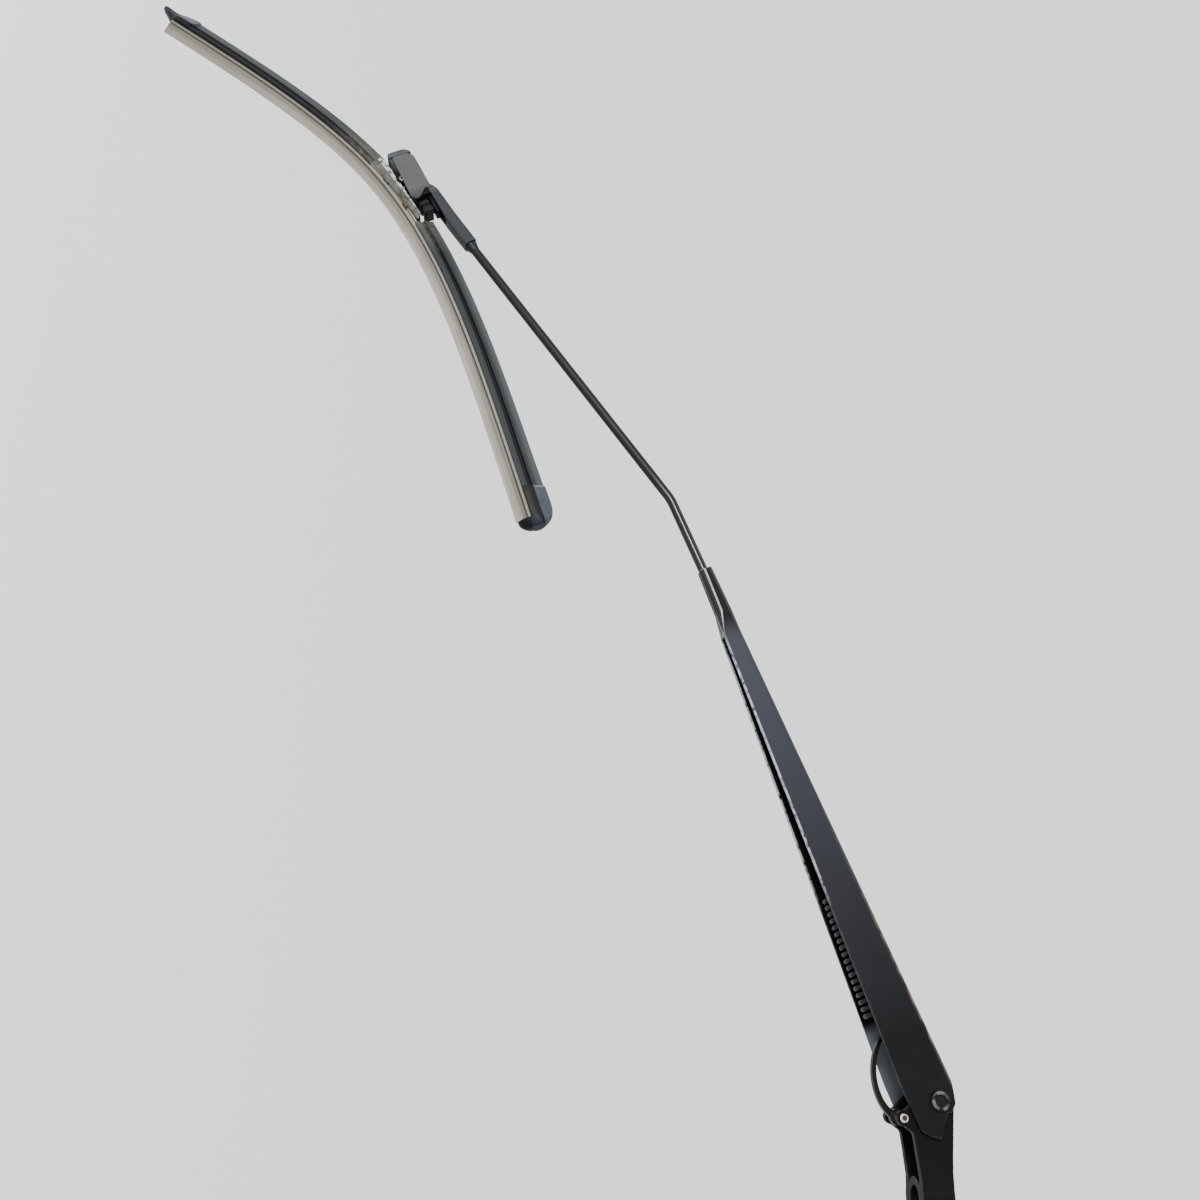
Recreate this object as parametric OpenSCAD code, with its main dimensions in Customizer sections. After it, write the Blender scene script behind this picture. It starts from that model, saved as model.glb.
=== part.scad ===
// Windscreen wiper arm with its flat blade, in millimetres.
// Origin: the spindle axis at the underside of the mounting head. +Z runs up the spindle, away from the glass.
// +X runs from the spindle towards the blade, and +Y is the side that the spoiler's hollow face looks to.
// The arm is drawn off the glass, pulled down by its spring as far as the hinge lets it go.

/* [Mounting head] */
// Radius of the spindle bore
spindle_r = 5.5; // [4:0.25:6]
// Length of the spindle bore
spindle_len = 10; // [8:0.5:11]
// Radius of the recess for the spindle nut
nut_r = 8.5; // [8:0.25:9.5]
// Depth of the recess for the spindle nut
nut_depth = 5; // [3:0.5:6]
// Wall around the nut recess
boss_wall = 3.5; // [2.5:0.25:5]
// Distance from the spindle axis to the hinge axis
pivot_x = 42; // [38:1:60]
// Height of the hinge axis above the head's underside
pivot_z = 9.5; // [8.5:0.5:11]
// Width across the head's two ears
head_w = 20.8; // [18:0.2:24]
// Thickness of each ear
ear_t = 3.2; // [2.4:0.1:4]
// Radius of each ear around the hinge axis
ear_r = 8; // [7:0.25:8.5]
// Thickness of the roof between the ears
head_roof_t = 3; // [2:0.25:4]
// How far behind the hinge axis that roof ends
head_roof_gap = 7.5; // [6:0.5:12]

/* [Hinge] */
// Radius of the hinge rivet
rivet_r = 3; // [2.5:0.1:3.5]
// Radius of the rivet's head
rivet_head_r = 4.7; // [4.2:0.1:5.5]
// Height of the rivet's head
rivet_head_h = 1.8; // [1.2:0.1:2.5]
// Wall of each hinge bush
bush_wall = 1.2; // [0.8:0.1:1.6]
// Thickness of a bush's flange
bush_flange_t = 0.8; // [0.5:0.1:1.2]
// How far a bush's flange stands out round its sleeve
bush_flange_w = 2.2; // [1.5:0.1:2.6]
// Play between a bush's flange and the channel's wall
side_gap = 0.2; // [0.1:0.05:0.4]
// Running clearance of a pin in its bore, on the radius
running_gap = 0.05; // [0.02:0.01:0.1]
// Clearance of a pin that is pressed or riveted in its hole, on the radius
seat_gap = 0.02; // [0.01:0.01:0.04]

/* [Arm channel] */
// Angle at which the channel's roof drops towards the glass
arm_drop = 25; // [0:1:30]
// Thickness of the channel's sheet steel
sheet_t = 1.6; // [1.2:0.1:2]
// Height of the channel's roof above the hinge axis
roof_z = 10; // [9.4:0.2:11]
// Height of the roof where the channel closes on the rod
roof_end_z = 11.4; // [11.2:0.1:12]
// Depth of the channel's side walls below the hinge axis
wall_drop = 14.1; // [13.5:0.1:15.5]
// Distance from the hinge axis to where the channel closes on the rod
channel_len = 248; // [200:2:300]
// Length of the parallel stretch beside the head
parallel_len = 12; // [11:0.5:30]
// Where the channel's roof starts in front of the hinge axis
roof_start = 9.5; // [9:0.5:12]
// Outer radius of the fold between roof and wall
fold_r = 2.6; // [2:0.1:3.5]
// Radius of the walls' rounded rear end
tail_r = 16; // [14.5:0.5:17]
// Length of the crimp that grips the rod
crimp_len = 40; // [30:1:50]
// Wall of the crimp around the rod
crimp_t = 1.8; // [1.4:0.1:2.2]
// Width of the open seam under the crimp
seam_w = 1.6; // [1.2:0.1:2]

/* [Rod] */
// Diameter of the rod
rod_d = 5.6; // [5.4:0.1:6]
// Height of the rod's axis above the hinge axis, where it leaves the channel
rod_z = 7; // [6.6:0.1:7.2]
// Length of straight rod between the crimp and the bend
rod_root_len = 46.8; // [30:0.2:80]
// Angle of the rod's bend
rod_bend = 13.8; // [5:0.1:20]
// Radius of the rod's bend
bend_r = 30; // [20:1:60]
// Distance from the bend to the blade's pivot, along the rod
tip_len = 267.3; // [220:0.1:320]
// Thickness of the flattened inner end
tab_t = 3.2; // [2.6:0.1:3.6]
// Height of the flattened inner end
tab_h = 6; // [5:0.2:6.4]
// Radius of the eye that the spring hangs in
eye_r = 1.9; // [1.7:0.1:2.2]
// Radius of the collar at the end fitting
collar_r = 3.9; // [3.5:0.1:4]
// Length of that collar's taper
collar_len = 5; // [3:0.5:8]

/* [Spring and hook] */
// Distance from the hinge axis to the eye that the spring hangs in
anchor_x = 165; // [150:1:180]
// Height of that eye above the hinge axis
anchor_z = 4.4; // [4:0.1:4.8]
// Diameter of the spring's wire
wire_d = 2.4; // [2:0.1:2.6]
// Diameter of the coil at the middle of its wire
coil_d = 11.6; // [10:0.2:12]
// Number of turns in the coil
coil_turns = 18; // [12:1:20]
// Length of the coil when the arm is down
coil_len = 60; // [48:1:64]
// Radius of the spring's end loops at the middle of the wire
loop_r = 4; // [3.8:0.1:4.2]
// Distance of the hook pin behind the hinge axis
hook_back = 8.3; // [8:0.1:10]
// Depth of the hook pin below the hinge axis
hook_down = 16.4; // [15:0.1:17]
// Radius of the hook pin
hook_pin_r = 2.1; // [1.8:0.1:2.4]
// Thickness of the hook's plate
hook_t = 3.2; // [2.6:0.1:3.6]
// Width of the hook's band at its middle
hook_band = 2; // [1.8:0.1:2.6]
// Wall around the pin in the hook's eye
hook_wall = 1.6; // [1.4:0.1:2]
// Wall around the pin in the head's lugs
lug_wall = 1.4; // [1.2:0.1:2]

/* [Arm end fitting] */
// Distance from the blade's pivot back to the start of the fitting
fitting_back = 60.6; // [56:0.2:80]
// Width of the sleeve round the rod
sleeve_w = 9; // [8.4:0.1:10]
// Height of the sleeve round the rod
sleeve_h = 8.2; // [8:0.1:9]
// Thickness of the fitting's wall
fitting_t = 1.2; // [1:0.1:1.4]
// Drop of the blade's pivot below the rod's axis
pin_drop = 10.9; // [10.4:0.1:12]
// Angle at which the hood is tipped up from the rod
hood_pitch = 8.1; // [4:0.1:9]
// Height of the hood's roof above the blade's pivot
hood_top = 13.3; // [12.8:0.1:14.5]
// Depth of the hood's lower rear corner below the blade's pivot
hood_low = 1; // [0.6:0.1:2]
// Reach of the hood in front of the blade's pivot
hood_front = 15.6; // [14:0.1:18]
// Reach of the hood's lower corner behind the blade's pivot
hood_rear = 20.5; // [18:0.5:21]

/* [Adapter] */
// Clearance between the adapter and the hood's walls
adapter_gap = 0.2; // [0.1:0.05:0.4]
// Reach of the adapter's nose in front of the blade's pivot
nose_front = 19.4; // [18:0.1:21]
// Reach of the adapter's tongue behind the blade's pivot
tongue_back = 29.5; // [28:0.5:30.5]
// Thickness of that tongue
tongue_t = 2; // [1.5:0.1:2.4]
// Wall around the blade's pin, in the adapter and in the connector base
pin_wall = 1.6; // [1.2:0.1:2]
// Clearance round the release tab's stem
tab_gap = 0.3; // [0.2:0.05:0.5]
// Travel of the release tab
tab_travel = 1.5; // [1:0.1:1.6]

/* [Blade] */
// Angle of the blade to the rod where the arm holds it
blade_set = 0.4; // [-2:0.1:3]
// Height of the blade's pivot above the tip of the rubber
pin_above_lip = 18; // [17.6:0.1:19]
// Length of the blade from the pivot to its outer tip
outer_len = 203; // [150:1:260]
// Length of the blade from the pivot to its inner end
inner_len = 244.5; // [180:0.5:320]
// Angle that the outer half turns through, free of the glass
outer_turn = 19.5; // [8:0.5:24]
// Angle that the inner half turns through, free of the glass
inner_turn = 18; // [8:0.5:24]
// Radius of the blade's pin
pin_r = 2; // [1.6:0.1:2.4]
// Width of the connector base
base_w = 12.6; // [12:0.1:12.8]
// Reach of the connector base in front of the pivot
base_front = 20; // [19.8:0.1:23]
// Reach of the connector base behind the pivot
base_rear = 31; // [30:0.5:33]
// Thickness of the connector base's middle rib
rib_t = 5; // [4:0.1:6]
// Length of each claw that holds the rails
claw_len = 5; // [3:0.5:7]
// Depth of the connector base's sides below its roof over the rails
skirt_h = 1.2; // [0.8:0.1:1.6]

/* [Rubber and rails] */
// Height of the wiping wedge
wedge_h = 6.2; // [5:0.1:7]
// Width of the wedge at its root
wedge_w = 5.6; // [4.6:0.1:6]
// Width of the wiping lip
lip_w = 0.8; // [0.6:0.1:1.2]
// Height of the thin neck that lets the wedge flip over
neck_h = 0.9; // [0.7:0.1:1.2]
// Width of that neck
neck_w = 1.2; // [0.8:0.1:1.6]
// Height of the crown between the neck and the rails
crown_h = 2.1; // [1.8:0.1:2.4]
// Width of the crown
crown_w = 6.6; // [5.8:0.1:6.8]
// Height of the rubber's head above the rails
rubber_head_h = 1.3; // [1:0.1:1.5]
// Width of the rubber's head
rubber_head_w = 5.2; // [4.8:0.1:5.4]
// Thickness of the rails
rail_t = 0.9; // [0.7:0.05:1]
// Width of each rail
rail_w = 3.7; // [3.4:0.1:3.8]
// Clearance between the rails and what they slide in
rail_gap = 0.1; // [0.05:0.05:0.15]

/* [Spoiler] */
// Width of the spoiler's foot
foot_w = 11.8; // [11.6:0.1:12.6]
// Height of the spoiler's foot above the rails' underside
foot_h = 2.7; // [2.4:0.1:3.2]
// Height of the spoiler's top above the tip of the rubber, beside the connector
spoiler_h = 20; // [18:0.1:20.8]
// How much higher the spoiler is at the inner end
inner_rise = 1.6; // [0:0.1:2.4]
// How much lower the spoiler is at the outer end
outer_fall = 0.8; // [0:0.1:2]
// Gap between the spoilers and the connector base
spoiler_gap = 0.6; // [0.4:0.1:2]
// Length of the outer end cap
outer_cap = 26.5; // [24:0.5:36]
// Length of the inner end cap
inner_cap = 24; // [22:1:40]
// How far an end cap stands proud of the spoiler
cap_proud = 0.5; // [0.3:0.1:0.8]

/* [Hidden] */
$fn = 48;
// A length that carries a cut clear of the face that it starts from
over = 1;
// Steps round each corner of a ring
ring_n = 5;
// Points on each rounded corner of an outline
corner_n = 8;

// Head
boss_r = nut_r + boss_wall;
boss_h = spindle_len + nut_depth;
boss_core_r = spindle_r + boss_wall;
head_inner_w = head_w - 2 * ear_t;
lug_r = hook_pin_r + lug_wall;
bush_r = rivet_r + running_gap + bush_wall;
pin_end_r = 0.4;
dimple_r = 1.6;

// Channel
hinge_w = head_w + 2 * (bush_flange_t + side_gap + sheet_t);
crimp_d = rod_d + 2 * crimp_t;
crimp_round = crimp_d * 0.38;
crimp_start = channel_len + 14;
crimp_end = channel_len + crimp_len;
rod_low = rod_z - rod_d / 2;
neck_low = rod_low - 3.2;
crimp_low_in = rod_low - 1.6;
crimp_low_out = rod_low - 0.5;
crimp_top_in = roof_end_z + 0.7;
crimp_top_out = roof_end_z + 0.4;

// Rod
rod_r = rod_d / 2;
bend_x = crimp_end + rod_root_len;
bend_tangent = bend_r * tan(rod_bend / 2);
rod_sides = 40;
rod_round_start = channel_len + 6;
// Waist where the swelling passes under the channel's roof
waist_x = channel_len - 2;
waist_r = rod_r - 0.4;
waist_z = rod_z;
tab_taper_start = waist_x - 24;
tab_ease = 0.45;
tab_land = 1.6;
tab_end = anchor_x - eye_r - tab_land;
tab_low = anchor_z - tab_h / 2 + 0.3;

// Spring: distances run from the eye towards the hinge
wire_r = wire_d / 2;
coil_r = coil_d / 2;
wire_sides = 8;
turn_steps = 14;
loop_steps = 12;
loop_seat = 0.3;
loop_a_u = loop_r + wire_r + loop_seat - eye_r;
tail_start = loop_a_u + loop_r + 2;
coil_start = 62.5;
coil_end = coil_start + coil_len;
lead = 3;
loop_b_u = coil_end + lead + loop_r;
hook_seat = 1;
hook_taper_from = 0.82;
hook_taper = 2.6;
hook_u = loop_b_u + loop_r - wire_r - hook_seat - hook_band / 2;

// Hook
hook_eye_r = hook_pin_r + hook_wall;
// The hook pin in the channel's frame
hook_ax = -hook_back * cos(arm_drop) + hook_down * sin(arm_drop);
hook_az = -hook_back * sin(arm_drop) - hook_down * cos(arm_drop);
spring_slope = 5.05;
hook_tip_x = anchor_x - hook_u * cos(spring_slope);
hook_tip_z = anchor_z - hook_u * sin(spring_slope);

// End fitting and adapter, measured from the blade's pivot
hood_in = base_w / 2 + 0.3;
hood_out = hood_in + fitting_t;
adapter_half = hood_in - adapter_gap;
adapter_top = hood_top - fitting_t - adapter_gap;
pin_ear_r = pin_r + pin_wall;
rod_end = tip_len - 40;
stem_x = -24.3;
stem_half_x = 1.8;
stem_half_y = 2;
pad_low = 3.1;
tongue_half = 3.5;
pad_high = adapter_top - tongue_t - tab_travel - tab_gap;

// Blade: heights run from the tip of the rubber
rail_h = wedge_h + neck_h + crown_h + rail_gap;
rail_top = rail_h + rail_t;
rail_in = (rubber_head_w / 2) - 1.3;
rail_out = rail_in + rail_w;
groove_half = rail_in - rail_gap;
cavity_half = rail_out + 0.15;
cavity_top = rail_top + rail_gap + 0.05;
head_slot_half = rubber_head_w / 2 + 0.3;
head_slot_top = rail_top + rail_gap + rubber_head_h + 0.3;
foot_low = rail_h - 0.7;
foot_top = rail_h + foot_h;
rubber_outer_end = outer_len - 12.4;
rubber_inner_end = -(inner_len - 6);
rail_outer_end = outer_len - 15;
rail_inner_end = -(inner_len - 8);
turn_outer_len = outer_len + 9;
turn_inner_len = inner_len + 5.5;
curve_step = 1;
base_top_front = -1.9;
base_top_rear = -4.8;

// Outlines
function unit(v) = v / norm(v);
function lerp(a, b, t) = a + (b - a) * t;

// The points of one corner: p has a radius as its third value, and a and b are its neighbours
function corner(a, p, b, n = corner_n) =
    p[2] == 0 ? [[p[0], p[1]]] :
    let (
        v = [p[0], p[1]],
        u = unit([a[0], a[1]] - v),
        w = unit([b[0], b[1]] - v),
        half = acos(u * w) / 2,
        c = v + unit(u + w) * p[2] / sin(half),
        s = v + u * p[2] / tan(half) - c,
        e = v + w * p[2] / tan(half) - c,
        a0 = atan2(s[1], s[0]),
        turn = atan2(s[0] * e[1] - s[1] * e[0], s * e)
    )
    [for (i = [0 : n]) c + p[2] * [cos(a0 + turn * i / n), sin(a0 + turn * i / n)]];

// An outline whose corners are rounded by the radius in each point's third value
function rounded(pts) =
    [for (i = [0 : len(pts) - 1])
        each corner(pts[(i + len(pts) - 1) % len(pts)], pts[i], pts[(i + 1) % len(pts)])];

// A side outline, x along the arm and y up, stood on edge with its middle at y = 0
module side_plate(width) {
    translate([0, width / 2, 0]) rotate([90, 0, 0]) linear_extrude(width) children();
}

// A shaft along Y with its middle at y = 0
module cross_pin(r, width) {
    rotate([90, 0, 0]) cylinder(r = r, h = width, center = true);
}

// A ring of points across the arm with rounded corners: the lower ones first
function corner_ring(x, y, z, r, from) =
    [for (i = [0 : ring_n]) let (a = from + 90 * i / ring_n) [x, y + r * cos(a), z + r * sin(a)]];
function box_ring(x, w, low, top, low_r, top_r) = concat(
    corner_ring(x, w / 2 - low_r, low + low_r, low_r, -90),
    corner_ring(x, w / 2 - top_r, top - top_r, top_r, 0),
    corner_ring(x, -w / 2 + top_r, top - top_r, top_r, 90),
    corner_ring(x, -w / 2 + low_r, low + low_r, low_r, 180));

// A solid through convex rings of points, each ring with as many points as the next
module tube_skin(rings) {
    n = len(rings[0]);
    last = len(rings) - 1;
    polyhedron(
        points = [for (ring = rings) each ring],
        faces = [
            [for (j = [0 : n - 1]) j],
            [for (j = [n - 1 : -1 : 0]) last * n + j],
            for (i = [0 : last - 1], j = [0 : n - 1]) each [
                [i * n + j, (i + 1) * n + j, (i + 1) * n + (j + 1) % n],
                [i * n + j, (i + 1) * n + (j + 1) % n, i * n + (j + 1) % n]]],
        convexity = 4);
}

// Cuts a section into triangles, one ear at a time, so that both ends of a skin are closed exactly
function side_of(a, b, c) = (b[0] - a[0]) * (c[1] - a[1]) - (b[1] - a[1]) * (c[0] - a[0]);
function holds(a, b, c, p) = side_of(a, b, p) >= 0 && side_of(b, c, p) >= 0 && side_of(c, a, p) >= 0;
function is_ear(pts, idx, i) =
    let (n = len(idx), a = idx[(i + n - 1) % n], b = idx[i], c = idx[(i + 1) % n])
    side_of(pts[a], pts[b], pts[c]) > 0
        && len([for (k = idx) if (k != a && k != b && k != c && holds(pts[a], pts[b], pts[c], pts[k])) k]) == 0;
function triangles(pts, idx) =
    len(idx) == 3 ? [idx] :
    let (n = len(idx), i = [for (i = [0 : n - 1]) if (is_ear(pts, idx, i)) i][0])
    concat([[idx[(i + n - 1) % n], idx[i], idx[(i + 1) % n]]],
        triangles(pts, [for (k = [0 : n - 1]) if (k != i) idx[k]]));

// A solid through rings of points, each ring with as many points as the next.
// The section is the ring's flat outline, and its corners run anticlockwise seen from the last ring.
module skin(rings, section) {
    n = len(section);
    last = len(rings) - 1;
    ends = triangles(section, [for (k = [0 : n - 1]) k]);
    polyhedron(
        points = [for (ring = rings) each ring],
        faces = [
            for (t = ends) t,
            for (t = ends) [last * n + t[2], last * n + t[1], last * n + t[0]],
            for (i = [0 : last - 1], j = [0 : n - 1]) each [
                [i * n + j, (i + 1) * n + j, (i + 1) * n + (j + 1) % n],
                [i * n + j, (i + 1) * n + (j + 1) % n, i * n + (j + 1) % n]]],
        convexity = 8);
}

// Frames
module hinge_frame() {
    translate([pivot_x, 0, pivot_z]) children();
}
module arm_frame() {
    hinge_frame() rotate([0, arm_drop, 0]) children();
}
module rod_frame() {
    arm_frame() translate([bend_x, 0, rod_z]) rotate([0, rod_bend, 0]) children();
}
module pin_frame() {
    rod_frame() translate([tip_len, 0, -pin_drop]) children();
}
module hood_frame() {
    pin_frame() rotate([0, -hood_pitch, 0]) children();
}
module blade_frame() {
    pin_frame() rotate([0, blade_set, 0]) children();
}

// The blade's free curve. Its bend is strongest at the pivot and fades out towards each end,
// as it must for the blade to press evenly on the glass.
function slope_at(s) =
    s >= 0
        ? -outer_turn * (1 - pow(1 - min(s / turn_outer_len, 1), 3))
        : inner_turn * (1 - pow(1 - min(-s / turn_inner_len, 1), 3));
function curve_run(last, dir) =
    [for (i = 0, p = [0, -pin_above_lip];
        i <= last;
        p = p + dir * curve_step * [cos(slope_at(dir * (i + 0.5))), sin(slope_at(dir * (i + 0.5)))],
        i = i + curve_step)
        [dir * i, p[0], p[1]]];
outer_run = curve_run(outer_len + 4, 1);
inner_run = curve_run(inner_len + 4, -1);
curve = concat([for (i = [len(inner_run) - 1 : -1 : 1]) inner_run[i]], outer_run);
curve_x = [for (p = curve) [p[0], p[1]]];
curve_z = [for (p = curve) [p[0], p[2]]];

// A point of the blade: s along its curve, y across it and h up from the tip of the rubber
function blade_point(s, y, h) =
    [lookup(s, curve_x) - h * sin(slope_at(s)), y, lookup(s, curve_z) + h * cos(slope_at(s))];
function stations(a, b, n) = [for (i = [0 : n]) lerp(a, b, i / n)];

module blade_at(s) {
    blade_frame() translate([lookup(s, curve_x), 0, lookup(s, curve_z)]) rotate([0, -slope_at(s), 0])
        children();
}

// Head: a casting with two ears, hollow underneath for the spring's hook
module head_side() {
    polygon(rounded([
        [-pivot_x - boss_r, boss_h - pivot_z, 0],
        [-pivot_x + boss_r, boss_h - pivot_z, 0],
        [0, ear_r * 0.96, 0],
        [ear_r * 0.85, -ear_r * 0.4, 0],
        [-hook_back + lug_r * 0.9, -hook_down, 0],
        [-hook_back - lug_r * 0.9, -hook_down - 0.4, 0],
        [-hook_back - 6.2, -pivot_z - 2.7, 3],
        [-pivot_x + boss_r * 0.7, -pivot_z, 0],
        [-pivot_x - boss_r, -pivot_z, 0]]));
}

module head_plan() {
    circle(boss_r);
    polygon([
        [-2, -boss_r * 0.98], [pivot_x * 0.45, -head_w / 2], [pivot_x + 2 * ear_r, -head_w / 2],
        [pivot_x + 2 * ear_r, head_w / 2], [pivot_x * 0.45, head_w / 2], [-2, boss_r * 0.98]]);
}

module mounting_head() {
    tall = pivot_z + roof_z + hook_down + lug_r;
    color("dimgray") difference() {
        union() {
            intersection() {
                hinge_frame() side_plate(2 * boss_r + over) head_side();
                translate([0, 0, -tall]) linear_extrude(2 * tall) head_plan();
            }
            hinge_frame() cross_pin(ear_r, head_w);
            hinge_frame() translate([-hook_back, 0, -hook_down]) cross_pin(lug_r, head_w);
        }
        // Hollow under the roof, round the boss
        difference() {
            hinge_frame() side_plate(head_inner_w) polygon([
                [-pivot_x, -tall], [-pivot_x, boss_h - pivot_z - head_roof_t],
                [-head_roof_gap - 2 * over, ear_r - head_roof_t],
                [-head_roof_gap - 2 * over, -tall]]);
            translate([0, 0, -tall]) cylinder(r = boss_core_r, h = 2 * tall);
        }
        // Open slot between the ears, where the hook swings
        hinge_frame() translate([-head_roof_gap - 2 * over, -head_inner_w / 2, -tall])
            cube([head_roof_gap + 2 * ear_r, head_inner_w, 2 * tall]);
        translate([0, 0, -over]) cylinder(r = spindle_r, h = boss_h + 2 * over);
        translate([0, 0, spindle_len]) cylinder(r = nut_r, h = nut_depth + over);
        hinge_frame() cross_pin(bush_r + seat_gap, 2 * boss_r);
        hinge_frame() translate([-hook_back, 0, -hook_down]) cross_pin(hook_pin_r + seat_gap, 2 * boss_r);
    }
}

// Flanged bush in an ear: side is 1 for the near one and -1 for the far one
module pivot_bush(side) {
    hinge_frame() rotate([-90 * side, 0, 0]) translate([0, 0, head_inner_w / 2]) difference() {
        union() {
            cylinder(r = bush_r, h = ear_t + bush_flange_t);
            translate([0, 0, ear_t]) cylinder(r = bush_r + bush_flange_w, h = bush_flange_t);
        }
        translate([0, 0, -over]) cylinder(r = rivet_r + running_gap, h = ear_t + bush_flange_t + 2 * over);
    }
}
module pivot_bush_near() {
    color("ivory") pivot_bush(1);
}
module pivot_bush_far() {
    color("ivory") pivot_bush(-1);
}

// A pin with eased ends, each with a turned dimple
module dimpled_pin(r, width) {
    rotate([90, 0, 0]) translate([0, 0, -width / 2]) rotate_extrude() polygon([
        [0, pin_end_r], [dimple_r * 0.6, pin_end_r], [dimple_r * 0.8, 0], [r - pin_end_r, 0], [r, pin_end_r],
        [r, width - pin_end_r], [r - pin_end_r, width], [dimple_r * 0.8, width],
        [dimple_r * 0.6, width - pin_end_r], [0, width - pin_end_r]]);
}
module hook_pin() {
    color("silver") hinge_frame() translate([-hook_back, 0.3, -hook_down]) dimpled_pin(hook_pin_r, head_w + 0.6);
}

// Sickle-shaped plate that pulls the head's pin: its curve bends clear of the hinge rivet
function bezier(a, b, c, d, t) =
    pow(1 - t, 3) * a + 3 * pow(1 - t, 2) * t * b + 3 * (1 - t) * t * t * c + pow(t, 3) * d;
hook_a = [hook_ax, hook_az];
hook_b = hook_a + [6.5, -8.4];
hook_c = [hook_tip_x - 6.2, hook_tip_z - 15.8];
hook_d = [hook_tip_x + 0.9, hook_tip_z + 2];
hook_steps = 24;
function hook_mid(t) = bezier(hook_a, hook_b, hook_c, hook_d, t);
function hook_dir(t) = unit(hook_mid(min(t + 0.01, 1)) - hook_mid(max(t - 0.01, 0)));
function hook_width(t) = hook_band * (1 + 0.9 * pow(1 - t, 3)) * (1 - hook_taper * max(t - hook_taper_from, 0));
function hook_edge(side) =
    [for (i = [0 : hook_steps])
        let (t = i / hook_steps, d = hook_dir(t))
        hook_mid(t) + side * hook_width(t) / 2 * [-d[1], d[0]]];
module spring_hook() {
    lower = hook_edge(-1);
    upper = hook_edge(1);
    color("dimgray") arm_frame() difference() {
        side_plate(hook_t) {
            polygon(concat(lower, [for (i = [len(upper) - 1 : -1 : 0]) upper[i]]));
            translate(hook_a) circle(hook_eye_r);
        }
        translate([hook_ax, 0, hook_az]) cross_pin(hook_pin_r + running_gap, 2 * hook_t);
    }
}

// Hinge rivet: a button head with a turned dimple on the near side and a peened head on the far side
module pivot_rivet() {
    grip = hinge_w / 2;
    ease = 0.5;
    color("dimgray") hinge_frame() rotate([-90, 0, 0]) rotate_extrude() polygon([
        [0, -grip - rivet_head_h * 0.7], [rivet_head_r * 0.7, -grip - rivet_head_h * 0.7],
        [rivet_head_r * 0.95, -grip - ease], [rivet_head_r * 0.95, -grip], [rivet_r, -grip],
        [rivet_r, grip], [rivet_head_r, grip], [rivet_head_r, grip + rivet_head_h * 0.55],
        [rivet_head_r - ease, grip + rivet_head_h * 0.92], [rivet_head_r - 2 * ease, grip + rivet_head_h],
        [rivet_head_r * 0.6, grip + rivet_head_h], [rivet_head_r * 0.52, grip + rivet_head_h - ease],
        [0, grip + rivet_head_h - ease]]);
}

// Arm channel: one pressing, a tapered trough whose walls close round the rod
module channel_side() {
    far = crimp_end + over;
    polygon(concat(
        [for (a = [-90 : -8 : -154]) tail_r * [cos(a), sin(a)]],
        rounded([
            [-ear_r * 0.92, 1.6, 1], [-ear_r * 0.5, ear_r * 0.8, 2], [roof_start, roof_z + over, 0],
            [far, crimp_d + roof_end_z, 0], [far, -tail_r, 0]])));
}

module arm_channel() {
    inner_r = fold_r - sheet_t;
    inner_w = hinge_w - 2 * sheet_t;
    edge_r = 0.4;
    color("darkslategray") arm_frame() difference() {
        intersection() {
            tube_skin([
                box_ring(-tail_r - over, hinge_w, -wall_drop, roof_z, edge_r, fold_r),
                box_ring(parallel_len, hinge_w, -wall_drop, roof_z, edge_r, fold_r),
                box_ring(channel_len, crimp_d, neck_low, roof_end_z, edge_r, fold_r),
                box_ring(crimp_start, crimp_d, crimp_low_in, crimp_top_in, crimp_round, crimp_round),
                box_ring(crimp_end, crimp_d, crimp_low_out, crimp_top_out, crimp_round, crimp_round)]);
            side_plate(2 * hinge_w) channel_side();
        }
        // Trough
        tube_skin([
            box_ring(-tail_r - 2 * over, inner_w, -wall_drop - 2 * over, roof_z - sheet_t, edge_r, inner_r),
            box_ring(parallel_len, inner_w, -wall_drop - 2 * over, roof_z - sheet_t, edge_r, inner_r),
            box_ring(channel_len, crimp_d - 2 * sheet_t, neck_low - 2 * over, roof_end_z - sheet_t, edge_r, inner_r)]);
        // Roof cut away over the head
        translate([-2 * tail_r, -inner_w / 2, 0]) cube([2 * tail_r + roof_start, inner_w, 2 * roof_z]);
        translate([channel_len - over, 0, rod_z]) rotate([0, 90, 0])
            cylinder(r = rod_r + seat_gap, h = crimp_len + 2 * over);
        translate([channel_len - over, -seam_w / 2, neck_low - over])
            cube([crimp_len + 2 * over, seam_w, rod_z - neck_low]);
        cross_pin(rivet_r + seat_gap, 2 * hinge_w);
    }
}

// Spring: a loop in the rod's eye, a straight tail, the coil, and a loop that the hook pulls
function spring_point(u, v, w) =
    [anchor_x - u * cos(spring_slope) - w * sin(spring_slope), v,
        anchor_z - u * sin(spring_slope) + w * cos(spring_slope)];
loop_a = [for (i = [0 : loop_steps]) let (a = lerp(325, 25, i / loop_steps))
    spring_point(loop_a_u + loop_r * cos(a), loop_r * sin(a), 0)];
loop_b = [for (i = [0 : loop_steps]) let (a = lerp(155, -145, i / loop_steps))
    spring_point(loop_b_u + loop_r * cos(a), loop_r * sin(a), 0)];
coil = [for (i = [0 : coil_turns * turn_steps]) let (a = 360 * i / turn_steps)
    spring_point(coil_start + coil_len * i / (coil_turns * turn_steps), coil_r * sin(a), coil_r * cos(a))];
spring_path = concat(
    loop_a,
    [spring_point(tail_start, 0.3, 0), spring_point(coil_start - lead, 0, 0.6),
        spring_point(coil_start - lead * 0.4, -coil_r * 0.6, coil_r * 0.55)],
    coil,
    [spring_point(coil_end + lead * 0.4, coil_r * 0.5, coil_r * 0.4)],
    loop_b);
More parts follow.
